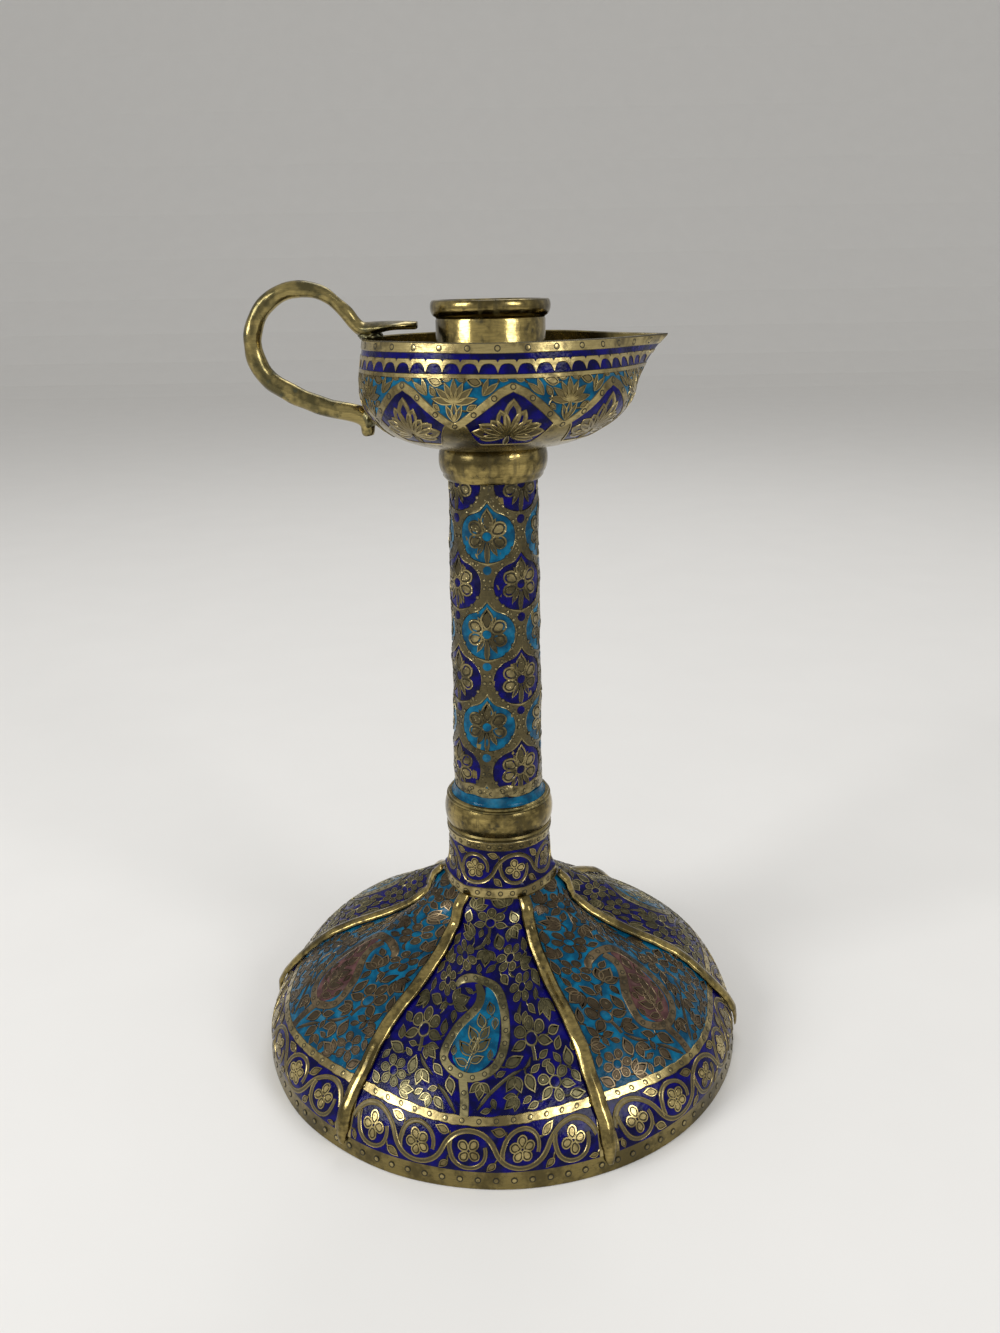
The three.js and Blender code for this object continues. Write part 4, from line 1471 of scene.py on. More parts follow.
@dataclass
class Foot(SubAssembly):
    """The domed foot: six enamelled panels between plain ribs, over an enamelled border.

    Attributes:
        shape: The dome.
        sheet: Thickness of the dome's sheet, in millimetres.
        hem_height: Height of the hem inside the rim.
        hem_thickness: Thickness of the hem.
        border_top: Length up the dome at which the border ends.
        rib_width: Width of a rib.
        roundels: Number of roundels in the border of a panel.
    """

    shape: FootShape = field(default_factory=FootShape)
    sheet: float = 1.2
    hem_height: float = 3.0
    hem_thickness: float = 2.4
    border_top: float = 13.7
    rib_width: float = 5.0
    roundels: int = 5

    FLOWERS = (
        ("fan", 0.0, 75.0, 0, 0.88),
        ("rose", -7.8, 61.2, 12, 0.84),
        ("rose", 7.8, 61.2, -12, 0.84),
        ("rose", -13.6, 50.2, 10, 0.74),
        ("rose", 13.0, 50.0, -8, 0.80),
        ("fan", -18.0, 35.9, 14, 1.02),
        ("fan", 16.4, 35.7, 0, 1.04),
        ("rose", -26.4, 21.9, 10, 0.84),
        ("bloom", 24.6, 22.4, 10, 0.98),
    )
    SPRIGS = (
        ("sprig", 1.9, 25.0, 178, 0.92),
        ("pair", 11.9, 26.2, 170, 0.95),
        ("pair", -16.6, 25.6, 205, 0.90),
        ("pair", -12.8, 19.6, 150, 0.72),
        ("leaf", -11.4, 45.0, 140, 0.80),
        ("leaf", -8.5, 44.2, 190, 0.85),
        ("leaf", 10.8, 43.6, 200, 0.85),
        ("leaf", 14.6, 43.0, 150, 0.85),
        ("leaf", -19.6, 45.0, 25, 0.80),
        ("leaf", 18.6, 44.4, -20, 0.80),
        ("leaf", -25.4, 31.0, 30, 0.95),
        ("leaf", 24.6, 31.0, -35, 0.95),
        ("leaf", 20.0, 27.4, -60, 0.80),
        ("leaf", -20.4, 28.0, 60, 0.75),
        ("leaf", 0.0, 67.4, 0, 0.60),
        ("leaf", 17.2, 20.0, 120, 0.75),
        ("leaf", 30.4, 29.6, -15, 0.7),
        ("leaf", -31.0, 29.0, 20, 0.7),
        ("leaf", 5.6, 20.6, 200, 0.7),
        ("leaf", -5.6, 60.0, 200, 0.55),
    )
    VINES = (
        ((-4.6, 16.4), (-8.0, 20.6), (-10.8, 23.0)),
        ((-12.6, 25.0), (-15.6, 27.0), (-17.6, 29.6)),
        ((1.6, 17.6), (4.6, 21.8), (9.6, 26.0), (13.6, 27.8)),
        ((14.0, 27.6), (15.6, 28.8), (16.2, 30.8)),
        ((-13.6, 41.4), (-12.4, 43.6), (-12.9, 46.0)),
        ((12.4, 40.8), (12.0, 43.2), (12.8, 46.0)),
        ((-9.9, 54.2), (-8.2, 55.6), (-7.7, 57.6)),
        ((9.9, 54.2), (8.2, 55.6), (7.7, 57.6)),
        ((-4.6, 64.8), (-1.6, 67.2), (-0.4, 71.2)),
    )
    DROP = (
        (-9.4, 50.8), (-7.6, 53.4), (-2.6, 56.0), (3.2, 53.6), (6.7, 46.7), (8.1, 36.7), (5.3, 29.0),
        (-2.4, 26.2), (-9.6, 30.4), (-7.2, 38.8), (-1.7, 46.4), (-0.5, 50.6), (-1.8, 54.4),
    )
    STALK = ((-2.0, 15.6), (-2.3, 20.0), (-3.4, 25.6))
    INLAY = ((-2.2, 27.6), (-1.8, 31.0), (-0.6, 36.0), (1.4, 42.0), (3.0, 47.0), (2.6, 51.4), (1.6, 53.8))
    SPRAY = ((-3.2, 26.6), (-1.6, 31.4), (0.2, 37.0), (2.4, 43.6))
    INLAY_SHARES = (0.0, 0.1, 0.28, 0.46, 0.7, 0.86, 1.0)
    INLAY_WIDTHS = (2.4, 5.2, 6.9, 5.9, 3.4, 2.2, 1.2)
    SPRAY_LEAVES = (
        (-2.2, 29.4, 66, 0.62), (-1.8, 30.4, -62, 0.62), (-1.2, 32.2, 46, 0.86), (-0.6, 33.6, -46, 0.84),
        (0.0, 36.0, 30, 0.84), (0.6, 37.0, -30, 0.70), (1.2, 40.4, 16, 0.72), (-0.8, 32.6, 4, 0.8),
    )

    def build(self) -> None:
        """Builds and dresses the foot."""
        self.panel = self.shape.surface()
        self.border = Surface(self.panel.profile, self.panel.start, self.shape.reshape)
        self._shell()
        self._ribs()
        self._enamel()
        self._ornament()

    def _panel_middles(self, first: int, step: int = 2) -> list[float]:
        """Azimuths of the middles of every second panel, or of all with a step of one."""
        return [self.shape.middle + 60.0 * k for k in range(first, self.shape.panels, step)]

    def _shell(self) -> None:
        """Raises the dome from sheet, with its hem."""
        under = 0.06
        outer = [(r - under, z) for r, z in self.panel.profile]
        inner_neck = self.shape.neck_radius - 3.0
        inner = [(r, z) for r, z in self.panel.inner(self.sheet) if z > self.hem_height and r > inner_neck]
        hem = self.shape.radius - self.hem_thickness
        neck = (self.shape.neck_radius - 3.4, self.shape.height - 0.2)
        section = [*outer, neck, *reversed(inner), (hem, self.hem_height), (hem, 0.4), (hem + 0.4, 0.0)]
        shell = self.turned(section, 216, self.shape.reshape)
        self.finish(shell, "foot_shell", self.palette.plain, ["foot_dome"])

    def _ribs(self) -> None:
        """Files the ribs smooth and gives them the slight waves of handwork."""
        for k in range(1, self.shape.panels + 1):
            rib = self.carried(f"foot_rib_{k}", "SIMPLE")
            points = rib.points()
            ripple = np.sin(points[:, 2] * 0.9 + k) * 0.12 + np.sin(points[:, 2] * 0.37 + 2 * k) * 0.16
            reach = np.hypot(points[:, 0], points[:, 1])
            side = np.stack([-points[:, 1], points[:, 0]], axis=1) / reach[:, None]
            points[:, :2] += side * ripple[:, None]
            rib.moved(points)
            Bench.modify(rib.body, "SMOOTH", factor=0.5, iterations=2)
            self.finish(rib, f"rib_{k}", self.palette.rubbed, [f"foot_rib_{k}"], "plain_brass", 55.0)

    def _enamel(self) -> None:
        """Lays the enamel of the panels and of the border."""
        palette = self.palette
        for first, name, material in ((0, "cobalt", palette.cobalt), (1, "turquoise", palette.turquoise)):
            edges = (self.border_top + 0.6, self.border.end - 0.3)
            skins = [
                self.glazed(self.border, (middle - 29.6, middle + 29.6), *edges, 44, 60)
                for middle in self._panel_middles(first)
            ]
            self.finish(Flat.joined(skins), f"foot_{name}_ground", material)
        skins = [
            self.glazed(self.border, (middle - 29.0, middle + 29.0), 0.2, self.border_top, 48, 10)
            for middle in self._panel_middles(0, 1)
        ]
        self.finish(Flat.joined(skins), "border_ground", self.palette.cobalt)

    def _on_sheet(self, points: Sequence[Point]) -> list[Point]:
        """Places on the dome as places on the flat sheet."""
        return [self.panel.sheet_point(x, s)[:2] for x, s in points]

    def _panel_drawing(self, gap: float) -> Drawing:
        """Draws the ornament of one panel: flowers round a drop with a bent tip.

        Args:
            gap: Width of enamel between the leaves that fill it, in millimetres.

        Returns:
            The drawing.
        """
        drawing = Drawing()
        for kind, x, s, turn, scale in (*self.FLOWERS, *self.SPRIGS):
            across, along, lean = self.panel.sheet_point(x, s)
            drawing.stamp(getattr(self.garden, kind), across, along, lean + turn, scale)
        for vine in self.VINES:
            drawing.vine(self._on_sheet(vine), 0.7)
        drop = spline(self._on_sheet(self.DROP), 1.2)
        count = len(drop)
        tapered = np.minimum(np.linspace(0.95, 9.0, count), 1.5)
        tapered = np.minimum(tapered, np.linspace(8.0, 1.2, count))
        drawing.brass(BAND.swept(drop, tapered))
        for station in drop[4:-4:3]:
            drawing.brass(self.garden.dot.copied(*station, scale=0.78))
        foot = spline(self._on_sheet(self.STALK), 1.2)
        drawing.brass(BAND.swept(foot, 1.45))
        drawing.brass(*[self.garden.dot.copied(*station, scale=0.78) for station in foot[2:-1:3]])
        spine = spline(self._on_sheet(self.INLAY), 1.2)
        widths = np.interp(np.linspace(0, 1, len(spine)), self.INLAY_SHARES, self.INLAY_WIDTHS)
        drawing.add(Finish.INLAY, POOL.swept(spine, widths))
        drawing.vine(self._on_sheet(self.SPRAY), 0.7)
        for x, s, turn, scale in self.SPRAY_LEAVES:
            across, along, lean = self.panel.sheet_point(x, s)
            drawing.stamp(self.garden.leaf, across, along, lean + turn, scale * 1.6)
        room = Room((-38.0, 12.0), (38.0, 84.0), self._margin)
        drawing.fill(self.garden.lobed, room, gap * 0.7, (6.6, 5.8, 5.0), 0.44)
        drawing.fill(self.garden.blade, room, gap, (6.2, 5.4, 4.6, 3.8, 3.1))
        return drawing.sealed()

    def _margin(self, across: Array, along: Array) -> Array:
        """Distance from places on the flat sheet to the edge of a panel's enamel.

        Args:
            across: Places across.
            along: Places along.

        Returns:
            The distances.
        """
        reach = np.hypot(across, self.panel.apex - along)
        length = self.panel.apex - reach
        radius = self.panel.meridian(length)[0]
        azimuth = np.arctan2(np.abs(across), self.panel.apex - along) * reach / radius
        side = (math.radians(30.0) - azimuth) * radius - self.rib_width / 2
        return np.minimum(side, length - self.border_top - 2.0)

    def _ornament(self) -> None:
        """Bends the drawn ornament onto the dome."""
        palette = self.palette
        sets = (
            (0, "cobalt", 0.5, palette.chased, palette.cobalt, palette.turquoise, (1, -1, 1)),
            (1, "turquoise", 0.34, palette.brown, palette.turquoise, palette.plum, (1, 1, -1)),
        )
        for first, name, gap, brass, glass, inlay, sides in sets:
            drawing = self._panel_drawing(gap)
            middles = self._panel_middles(first)
            bent = drawing.bent(self.panel, *zip(middles, sides))
            self.finish(Flat.joined(bent[Finish.BRASS]), f"foot_{name}_ornament", brass)
            self.finish(Flat.joined(bent[Finish.GLASS]), f"foot_{name}_eyes", glass)
            self.finish(Flat.joined(bent[Finish.INLAY]), f"foot_{name}_drops", inlay)
            drawing.discarded()
        self._border_ornament()

    def _border_ornament(self) -> None:
        """Bends the roundels, the ringed bands and the strips by the ribs onto the border."""
        low, high, pitch = 0.3, self.border_top - 0.5, 15.2
        drawing = Drawing()
        for k in range(self.roundels):
            roundel = self.roundel(self.garden, k)
            drawing.stamp(roundel, (k - (self.roundels - 1) / 2) * pitch, (low + high) / 2)
            roundel.discarded()
        half = self.roundels * pitch / 2
        for side in (-1, 1):
            strip = np.array([(side * (half + 0.9), y) for y in np.linspace(0.4, 13.6, 9)])
            drawing.brass(BAND.swept(strip, 0.8))

        def free(x: Array, y: Array) -> Array:
            """Distance of places to the bands and the strips.

            Args:
                x: Places across.
                y: Places along.

            Returns:
                The distances.
            """
            return np.minimum(np.minimum(y - low, high - y), half - np.abs(x)) + 0.4

        drawing.fill(self.garden.blade, Room((-half, low), (half, high), free), 0.5, (4.6, 3.8, 3.0))
        stations = np.linspace(-half - 1.9, half + 1.9, 56)
        middle = self.border_top + 0.9
        ringed = np.column_stack([stations, np.full(56, middle)])
        wavy = 1.42 + 0.12 * np.sin(stations * 0.9) + 0.08 * np.sin(stations * 2.3 + 1.0)
        drawing.brass(BAND.swept(ringed, wavy, upright=True))
        for k in range(16):
            drawing.brass(self.garden.dot.copied((k - 7.5) * 4.9, middle, scale=0.8))
            drawing.brass(self.garden.dot.copied((k - 7.5) * 5.2, -2.6, scale=1.0).moved_up(-0.24))
        drawing.sealed()
        bent = drawing.bent(self.border, *[(middle, 1) for middle in self._panel_middles(0, 1)])
        self.finish(Flat.joined(bent[Finish.BRASS]), "border_ornament", self.palette.bright)
        drawing.discarded()

    @staticmethod
    def roundel(garden: Garden, number: int) -> Drawing:
        """Draws one roundel of a running vine, which passes over odd flowers and under even ones.

        Args:
            garden: The chased shapes.
            number: Number of the roundel in its row.

        Returns:
            The roundel.
        """
        side = 1 if number % 2 == 0 else -1
        drawing = Drawing()
        turns = np.linspace(-math.pi / 2, math.pi / 2, 13)
        wave = [(7.6 * (0.55 * math.sin(t) + 0.9 * t / math.pi), side * 5.35 * math.cos(t)) for t in turns]
        drawing.brass(VINE.swept(spline(wave, 1.2), 0.9))
        reach = np.interp(np.linspace(0.0, 1.0, 14), (0.0, 0.15, 0.75, 1.0), (6.1, 5.35, 5.2, 4.7))
        turns = np.linspace(-1.15, -4.95, 14)
        curl = [(r * math.sin(t), side * r * math.cos(t)) for r, t in zip(reach, turns)]
        line = spline(curl, 1.2)
        drawing.brass(VINE.swept(line, np.linspace(0.9, 0.72, len(line))))
        petals = 5 if number % 2 else 4
        for k in range(petals):
            drawing.brass(garden.ringed.spoke(360.0 / petals * k + 25.0 * number, 0.2, 0.88))
        return drawing.sealed()


# Neck and stem


@dataclass
class Neck(SubAssembly):
    """The neck on the dome, with its roundels between two ringed bands.

    Attributes:
        foot: The dome that it stands on.
        height: Height of the neck.
        band: Height of the ringed band at its foot.
        waist: Height of the waist above its foot.
        waist_radius: Radius at the waist.
        top_radius: Radius at the top.
        bead: Height of the bead under the collar.
        wall: Thickness of the wall.
        roundels: Number of roundels round the neck.
    """

    foot: FootShape = field(default_factory=FootShape)
    height: float = 20.8
    band: float = 3.5
    waist: float = 15.8
    waist_radius: float = 16.3
    top_radius: float = 17.1
    bead: float = 1.3
    wall: float = 2.2
    roundels: int = 8

    def _reshape(self, azimuth: Array, radius: Array, height: Array) -> Pair:
        """Carries the facets of the dome up to the waist.

        Args:
            azimuth: Azimuths, in radians.
            radius: Turned radii.
            height: Heights above the table.

        Returns:
            The new radii, and no shift.
        """
        base = self.foot.height
        fade = 1.0 - smooth_step(height, base + self.band, base + self.waist)
        factor = self.foot.factor(azimuth, np.full_like(radius, base))
        return radius * (1.0 + fade * (factor - 1.0)), np.zeros_like(radius)

    def build(self) -> None:
        """Builds and dresses the neck."""
        base, top = self.foot.height, self.foot.height + self.height
        flare = (self.foot.neck_radius - 0.6, base + self.band)
        waist = (self.waist_radius, base + self.waist)
        curve = bezier(flare, (flare[0] - 2.0, flare[1] + 2.0), (waist[0] + 0.5, waist[1] - 5.0), waist, 14)
        outline = [
            (self.foot.neck_radius, base),
            (self.foot.neck_radius - 0.3, base + self.band),
            *curve[1:],
            (self.top_radius - 0.13, top - self.bead),
        ]
        self.surface = Surface(outline, 0.0, self._reshape, unroll_radius=18.0)
        bead = [(self.top_radius, top - self.bead / 2), (self.top_radius - 0.3, top)]
        bore = self.waist_radius - self.wall
        inside = [(bore, top), (bore, base + 8.0), (self.foot.neck_radius - self.wall, base)]
        shell = self.turned([*[(r - 0.05, z) for r, z in outline], *bead, *inside], 144, self._reshape)
        self.finish(shell, "neck_shell", self.palette.plain, ["foot_neck"])
        low, high = self.surface.at_height(base + self.band), self.surface.at_height(top - 4.9)
        ground = self.glazed(self.surface, (-180.0, 180.0), low, high, 144, 10)
        self.finish(ground, "neck_ground", self.palette.cobalt)
        drawing = Drawing()
        around = 2.0 * math.pi * self.surface.unroll_radius
        pitch = around / self.roundels
        for k in range(self.roundels):
            roundel = Foot.roundel(self.garden, k)
            drawing.stamp(roundel, (k - (self.roundels - 1) / 2) * pitch, (low + high) / 2, 0.0, pitch / 15.2)
            roundel.discarded()
        room = Room(
            (-around / 2, low), (around / 2, high), lambda x, y: np.minimum(y - low, high - y) + 0.3
        )
        drawing.fill(self.garden.blade, room, 0.5, (4.0, 3.2))
        stations = np.linspace(-around / 2, around / 2, 121)
        for middle, half in ((low - 1.75, 1.75), (high + 1.75, 1.7)):
            wavy = half + 0.1 * np.sin(stations / around * 2 * math.pi * 17)
            drawing.brass(BAND.hooped(stations, middle, wavy))
            for k in range(30):
                drawing.brass(self.garden.dot.copied((k - 14.5) * around / 30, middle, scale=0.85))
        ornament = drawing.sealed().bent(self.surface, (-6.0, 1))[Finish.BRASS][0]
        Bench.heal(ornament.body)
        self.finish(ornament, "neck_ornament", self.palette.bright)
        drawing.discarded()


@dataclass
class Stem(SubAssembly):
    """The tube of the stem between its two collars, under a lattice of enamelled cells.

    Attributes:
        base: Height of the foot of the stem above the table.
        foot_radius: Radius of the tube at its foot.
        head_radius: Radius of the tube at its head.
        shown: Length of tube between the collars.
        collar: Height of the lower collar.
        flare: Height of the flare on it.
        head_collar: Height of the upper collar.
        around: Number of cells round the tube.
        row: Height from one row of cells to the next.
        first: Height of the top full row above the table.
        twist: Slow twist of the rows, in degrees to the millimetre.
    """

    base: float = 78.3
    foot_radius: float = 14.1
    head_radius: float = 13.1
    shown: float = 98.5
    collar: float = 8.3
    flare: float = 4.6
    head_collar: float = 9.8
    around: int = 4
    row: float = 14.9
    first: float = 175.1
    twist: float = 0.075

    CELL = mirrored([
        (0.0, -8.5), (-3.4, -7.9), (-6.6, -5.9), (-8.7, -2.0), (-8.4, 2.2), (-5.9, 5.4), (-2.4, 6.9),
        (0.0, 9.6),
    ])
    DENTS = ((3, 0.21, 0.11), (5, -0.34, 0.09), (8, 0.52, 0.07), (11, -0.83, 0.06), (14, 1.2, 0.04))

    def build(self) -> None:
        """Builds and dresses the stem."""
        self._collars()
        self._tube()
        self._lattice()

    @property
    def low(self) -> float:
        """Height at which the tube comes out of the flare."""
        return self.base + self.collar + self.flare

    @property
    def high(self) -> float:
        """Height at which the tube goes into the upper collar."""
        return self.low + self.shown

    def _collars(self) -> None:
        """Turns the collars, worn round at their edges."""
        base, bore, rubbed = self.base, self.foot_radius + 0.02, self.palette.rubbed
        foot, top = base + self.collar, base + self.collar + self.flare
        barrel = bezier((16.7, base), (17.85, base + 2.1), (17.85, base + 6.2), (16.7, foot), 14)
        section = [(6.0, base), *barrel, (bore, foot), (bore, base + 2.5), (6.0, base + 2.5)]
        self.finish(self.turned(section, 96), "collar_below", rubbed, ["lower_collar"], "plain_brass")
        rim = [
            (16.5, foot), (16.95, foot + 0.35), (16.85, foot + 0.75), (16.35, foot + 0.95),
            (16.4, foot + 1.2), (16.2, foot + 1.65), (15.6, foot + 1.9), (15.1, foot + 1.75),
        ]
        flared = self.turned([(bore, foot), *rim, (bore, foot + 1.3)], 96)
        self.finish(flared, "flare_ring", self.palette.forged, ["stem_flare"])
        sweep = bezier((15.3, foot + 1.8), (14.7, foot + 2.2), (14.45, top - 1.4), (14.4, top), 10)
        flare = self.turned([(bore, foot + 1.3), *sweep, (bore, top)], 96)
        self.finish(flare, "flare_enamel", self.palette.turquoise, ["stem_flare"])
        head, top = self.high, self.high + self.head_collar
        lip = 13.22 + 0.9
        belly = bezier((lip + 0.9, head + 1.8), (16.4, head + 3.3), (16.4, head + 7.3), (15.2, top), 12)
        bore = self.head_radius + 0.12
        inside = [(6.0, top), (6.0, top - 2.5), (bore, top - 2.5)]
        section = [(bore, head), (lip, head), (lip + 0.8, head + 1.0), *belly, *inside]
        self.finish(self.turned(section, 96), "collar_above", rubbed, ["upper_collar"], "plain_brass")

    def _tube(self) -> None:
        """Draws the tube, whose foot and head stand inside the collars."""
        low, high = self.base + 2.6, self.high + self.head_collar - 2.6
        heights = np.linspace(low, high, 24)
        radii = np.interp(heights, (low, high), (self.foot_radius, self.head_radius))
        self.surface = Surface(list(zip(radii, heights)), float(low), self._dented)
        outer = [(r - 0.08, z) for r, z in zip(radii, heights)]
        section = [*outer, (self.head_radius - 1.5, high), (self.foot_radius - 1.5, low)]
        shell = self.turned(section, 96, self._dented)
        self.finish(shell, "stem_shell", self.palette.plain, ["stem_tube"])

    def _dented(self, azimuth: Array, radius: Array, height: Array) -> Pair:
        """Dents the tube as the hammer and the chisel left it.

        Args:
            azimuth: Azimuths, in radians.
            radius: Turned radii.
            height: Heights above the table.

        Returns:
            The new radii, and no shift.
        """
        dents = 0.0
        for turns, per_mm, depth in self.DENTS:
            dents = dents + depth * np.sin(turns * azimuth + per_mm * height + turns)
        return radius + dents, np.zeros_like(radius)

    def _tile(self, width: float) -> Drawing:
        """Models one tile of the lattice: a diamond with a cell sunk in it, and the flower in the cell.

        Args:
            width: Width of the diamond, in millimetres.

        Returns:
            The tile.
        """
        corners = 40
        body = Bench.start(bpy.ops.mesh.primitive_circle_add, vertices=corners, fill_type="NGON")
        tile = Flat(body)
        points = tile.points()
        turned = np.arctan2(points[:, 1], points[:, 0]) / (2.0 * math.pi) * corners
        number = np.rint(turned).astype(int) % corners
        side, share = number // 10, (number % 10 / 10.0)[:, None]
        half = width / 2
        diamond = np.array([(half, 0.0), (0.0, self.row), (-half, 0.0), (0.0, -self.row), (half, 0.0)])
        edge = diamond[side] * (1.0 - share) + diamond[side + 1] * share
        angle = np.arctan2(edge[:, 1], edge[:, 0])
        cell = spline(self.CELL, stations=400, closed=True)
        cell_angle = np.arctan2(cell[:, 1], cell[:, 0])
        order = np.argsort(cell_angle)
        inner = np.interp(angle, cell_angle[order], np.hypot(*cell[order].T), period=2 * math.pi)
        tile.moved(np.column_stack([edge, np.full(corners, 0.18)]))
        for share in (0.5, 0.86, 1.0):
            Bench.pick(body, "FACE", lambda face: len(face.vertices) == corners)
            bpy.ops.mesh.inset(thickness=0.02, depth=0.0)
            Bench.close()
            face = next(face for face in body.data.polygons if len(face.vertices) == corners)
            points = tile.points()
            ring_of = np.array(face.vertices)
            around = np.arctan2(points[ring_of, 1], points[ring_of, 0])
            outer_reach = 1.0 / (np.abs(np.cos(around)) / half + np.abs(np.sin(around)) / self.row)
            inner_reach = np.interp(around, np.sort(angle), inner[np.argsort(angle)], period=2 * math.pi)
            reached = outer_reach + (inner_reach - outer_reach) * share
            points[ring_of, 0] = np.cos(around) * reached
            points[ring_of, 1] = np.sin(around) * reached
            points[ring_of, 2] = 0.18 if share < 1.0 else 0.28
            tile.moved(points)
        Bench.take(body)
        bpy.ops.object.mode_set(mode="EDIT")
        bpy.ops.mesh.inset(thickness=0.2, depth=0.0)
        bpy.ops.transform.translate(value=(0, 0, -0.26))
        bpy.ops.mesh.inset(thickness=0.02, depth=0.0)
        bpy.ops.transform.translate(value=(0, 0, -0.1))
        bpy.ops.mesh.delete(type="FACE")
        bpy.ops.mesh.select_all(action="SELECT")
        bpy.ops.mesh.normals_make_consistent(inside=False)
        Bench.close()
        if body.data.polygons[0].normal.z < 0:
            body.data.flip_normals()
        tile.marked()
        drawing = Drawing().brass(tile)
        garden = self.garden
        drawing.brass(garden.blade.spoke(0, 1.4, 1.42, 0.0, -0.4))
        for master, angle, scale in (
            (garden.ringed, 57, 1.3), (garden.ringed, 113, 1.22), (garden.reed, 26, 0.95),
            (garden.reed, 152, 1.05),
        ):
            drawing.brass(*[master.spoke(side * angle, 1.4, scale, 0.0, -0.4) for side in (1, -1)])
        drawing.brass(garden.eyelid.copied(0.0, -0.4, scale=0.88))
        drawing.vine([(0.0, -2.0), (0.05, -5.0), (0.0, -9.0)], 1.0)
        drawing.add(Finish.GLASS, garden.iris.copied(0.0, -0.4, scale=0.9))
        drawing.add(Finish.GLASS, garden.iris.copied(0.0, -10.6, scale=0.9).moved_up(0.18))
        for share in (0.08, 0.27, 0.44, 0.58, 0.75, 0.92):
            for side in (-1, 1):
                place = (side * share * width / 2, (1.0 - share) * self.row)
                drawing.brass(garden.dot.copied(*place, scale=0.62))
        return drawing.sealed()

    def _twisted(self, part: Flat, height: float, lean: float) -> Flat:
        """Bends a part of a row round the tube, with the slow twist of the lattice.

        Args:
            part: The part.
            height: Height of the middle of its row above the table.
            lean: Azimuth of the part's middle, in degrees.

        Returns:
            The part.
        """
        points = part.points()
        points[:, 0] += (points[:, 1] - height) * (math.radians(self.twist) * self.surface.unroll_radius)
        return part.moved(self.surface.bend(points, lean))

    def _lattice(self) -> None:
        """Bends the tiles round the tube."""
        width = 2.0 * math.pi * (self.foot_radius + self.head_radius) / 2 / self.around
        self.surface.unroll_radius = width * self.around / (2.0 * math.pi)
        master = self._tile(width)
        body = Bench.start(bpy.ops.mesh.primitive_grid_add, x_subdivisions=8, y_subdivisions=8, size=2.0)
        pool = Flat(body)
        points = pool.points()
        across, along = (points[:, 0] - points[:, 1]) / 2, (points[:, 0] + points[:, 1]) / 2
        pool.moved(np.column_stack([across * width / 2, along * self.row, np.full(len(points), 0.03)]))
        if body.data.polygons[0].normal.z < 0:
            body.data.flip_normals()
        skins: dict[int, list[Flat]] = {0: [], 1: []}
        eyes: dict[int, list[Flat]] = {0: [], 1: []}
        tiles: list[Flat] = []
        for row in range(-1, 7):
            height = self.first - row * self.row
            lean = -9.0 - (self.first - height) * self.twist + (45.0 if row % 2 else 0.0)
            for k in range(self.around):
                sheet = pool.copied(0.0, height).trimmed(self.low - 1.0, self.high + 1.0)
                skins[row % 2].append(self._twisted(sheet, height, lean + 90.0 * k))
                for finish, parts in master.parts.items():
                    kept = tiles if finish is Finish.BRASS else eyes[row % 2]
                    for part in parts:
                        copy = part.copied(0.0, height).trimmed(self.low + 0.7, self.high + 0.4)
                        kept.append(self._twisted(copy, height, lean + 90.0 * k))
        stations = np.linspace(-math.pi, math.pi, 121) * self.surface.unroll_radius
        scalloped = self.low + 1.9 + 0.5 * np.sin(stations / self.surface.unroll_radius * 8.0)
        band = BAND.hooped(stations, scalloped, 2.1)
        places = zip(stations[2:-1:5], scalloped[2:-1:5])
        rings = [self.garden.dot.copied(x, y, scale=0.75) for x, y in places]
        tiles += [part.moved(self.surface.bend(part.points())) for part in (band, *rings)]
        lattice = Flat.joined(tiles)
        Bench.heal(lattice.body, 0.02)
        self.finish(lattice, "stem_lattice", self.palette.dull)
        palette = self.palette
        for parity, name, material in ((0, "turquoise", palette.turquoise), (1, "cobalt", palette.cobalt)):
            self.finish(Flat.joined(skins[parity]), f"stem_{name}_cells", material)
            self.finish(Flat.joined(eyes[parity]), f"stem_{name}_eyes", material)
        master.discarded()
        pool.discarded()


# Bowl


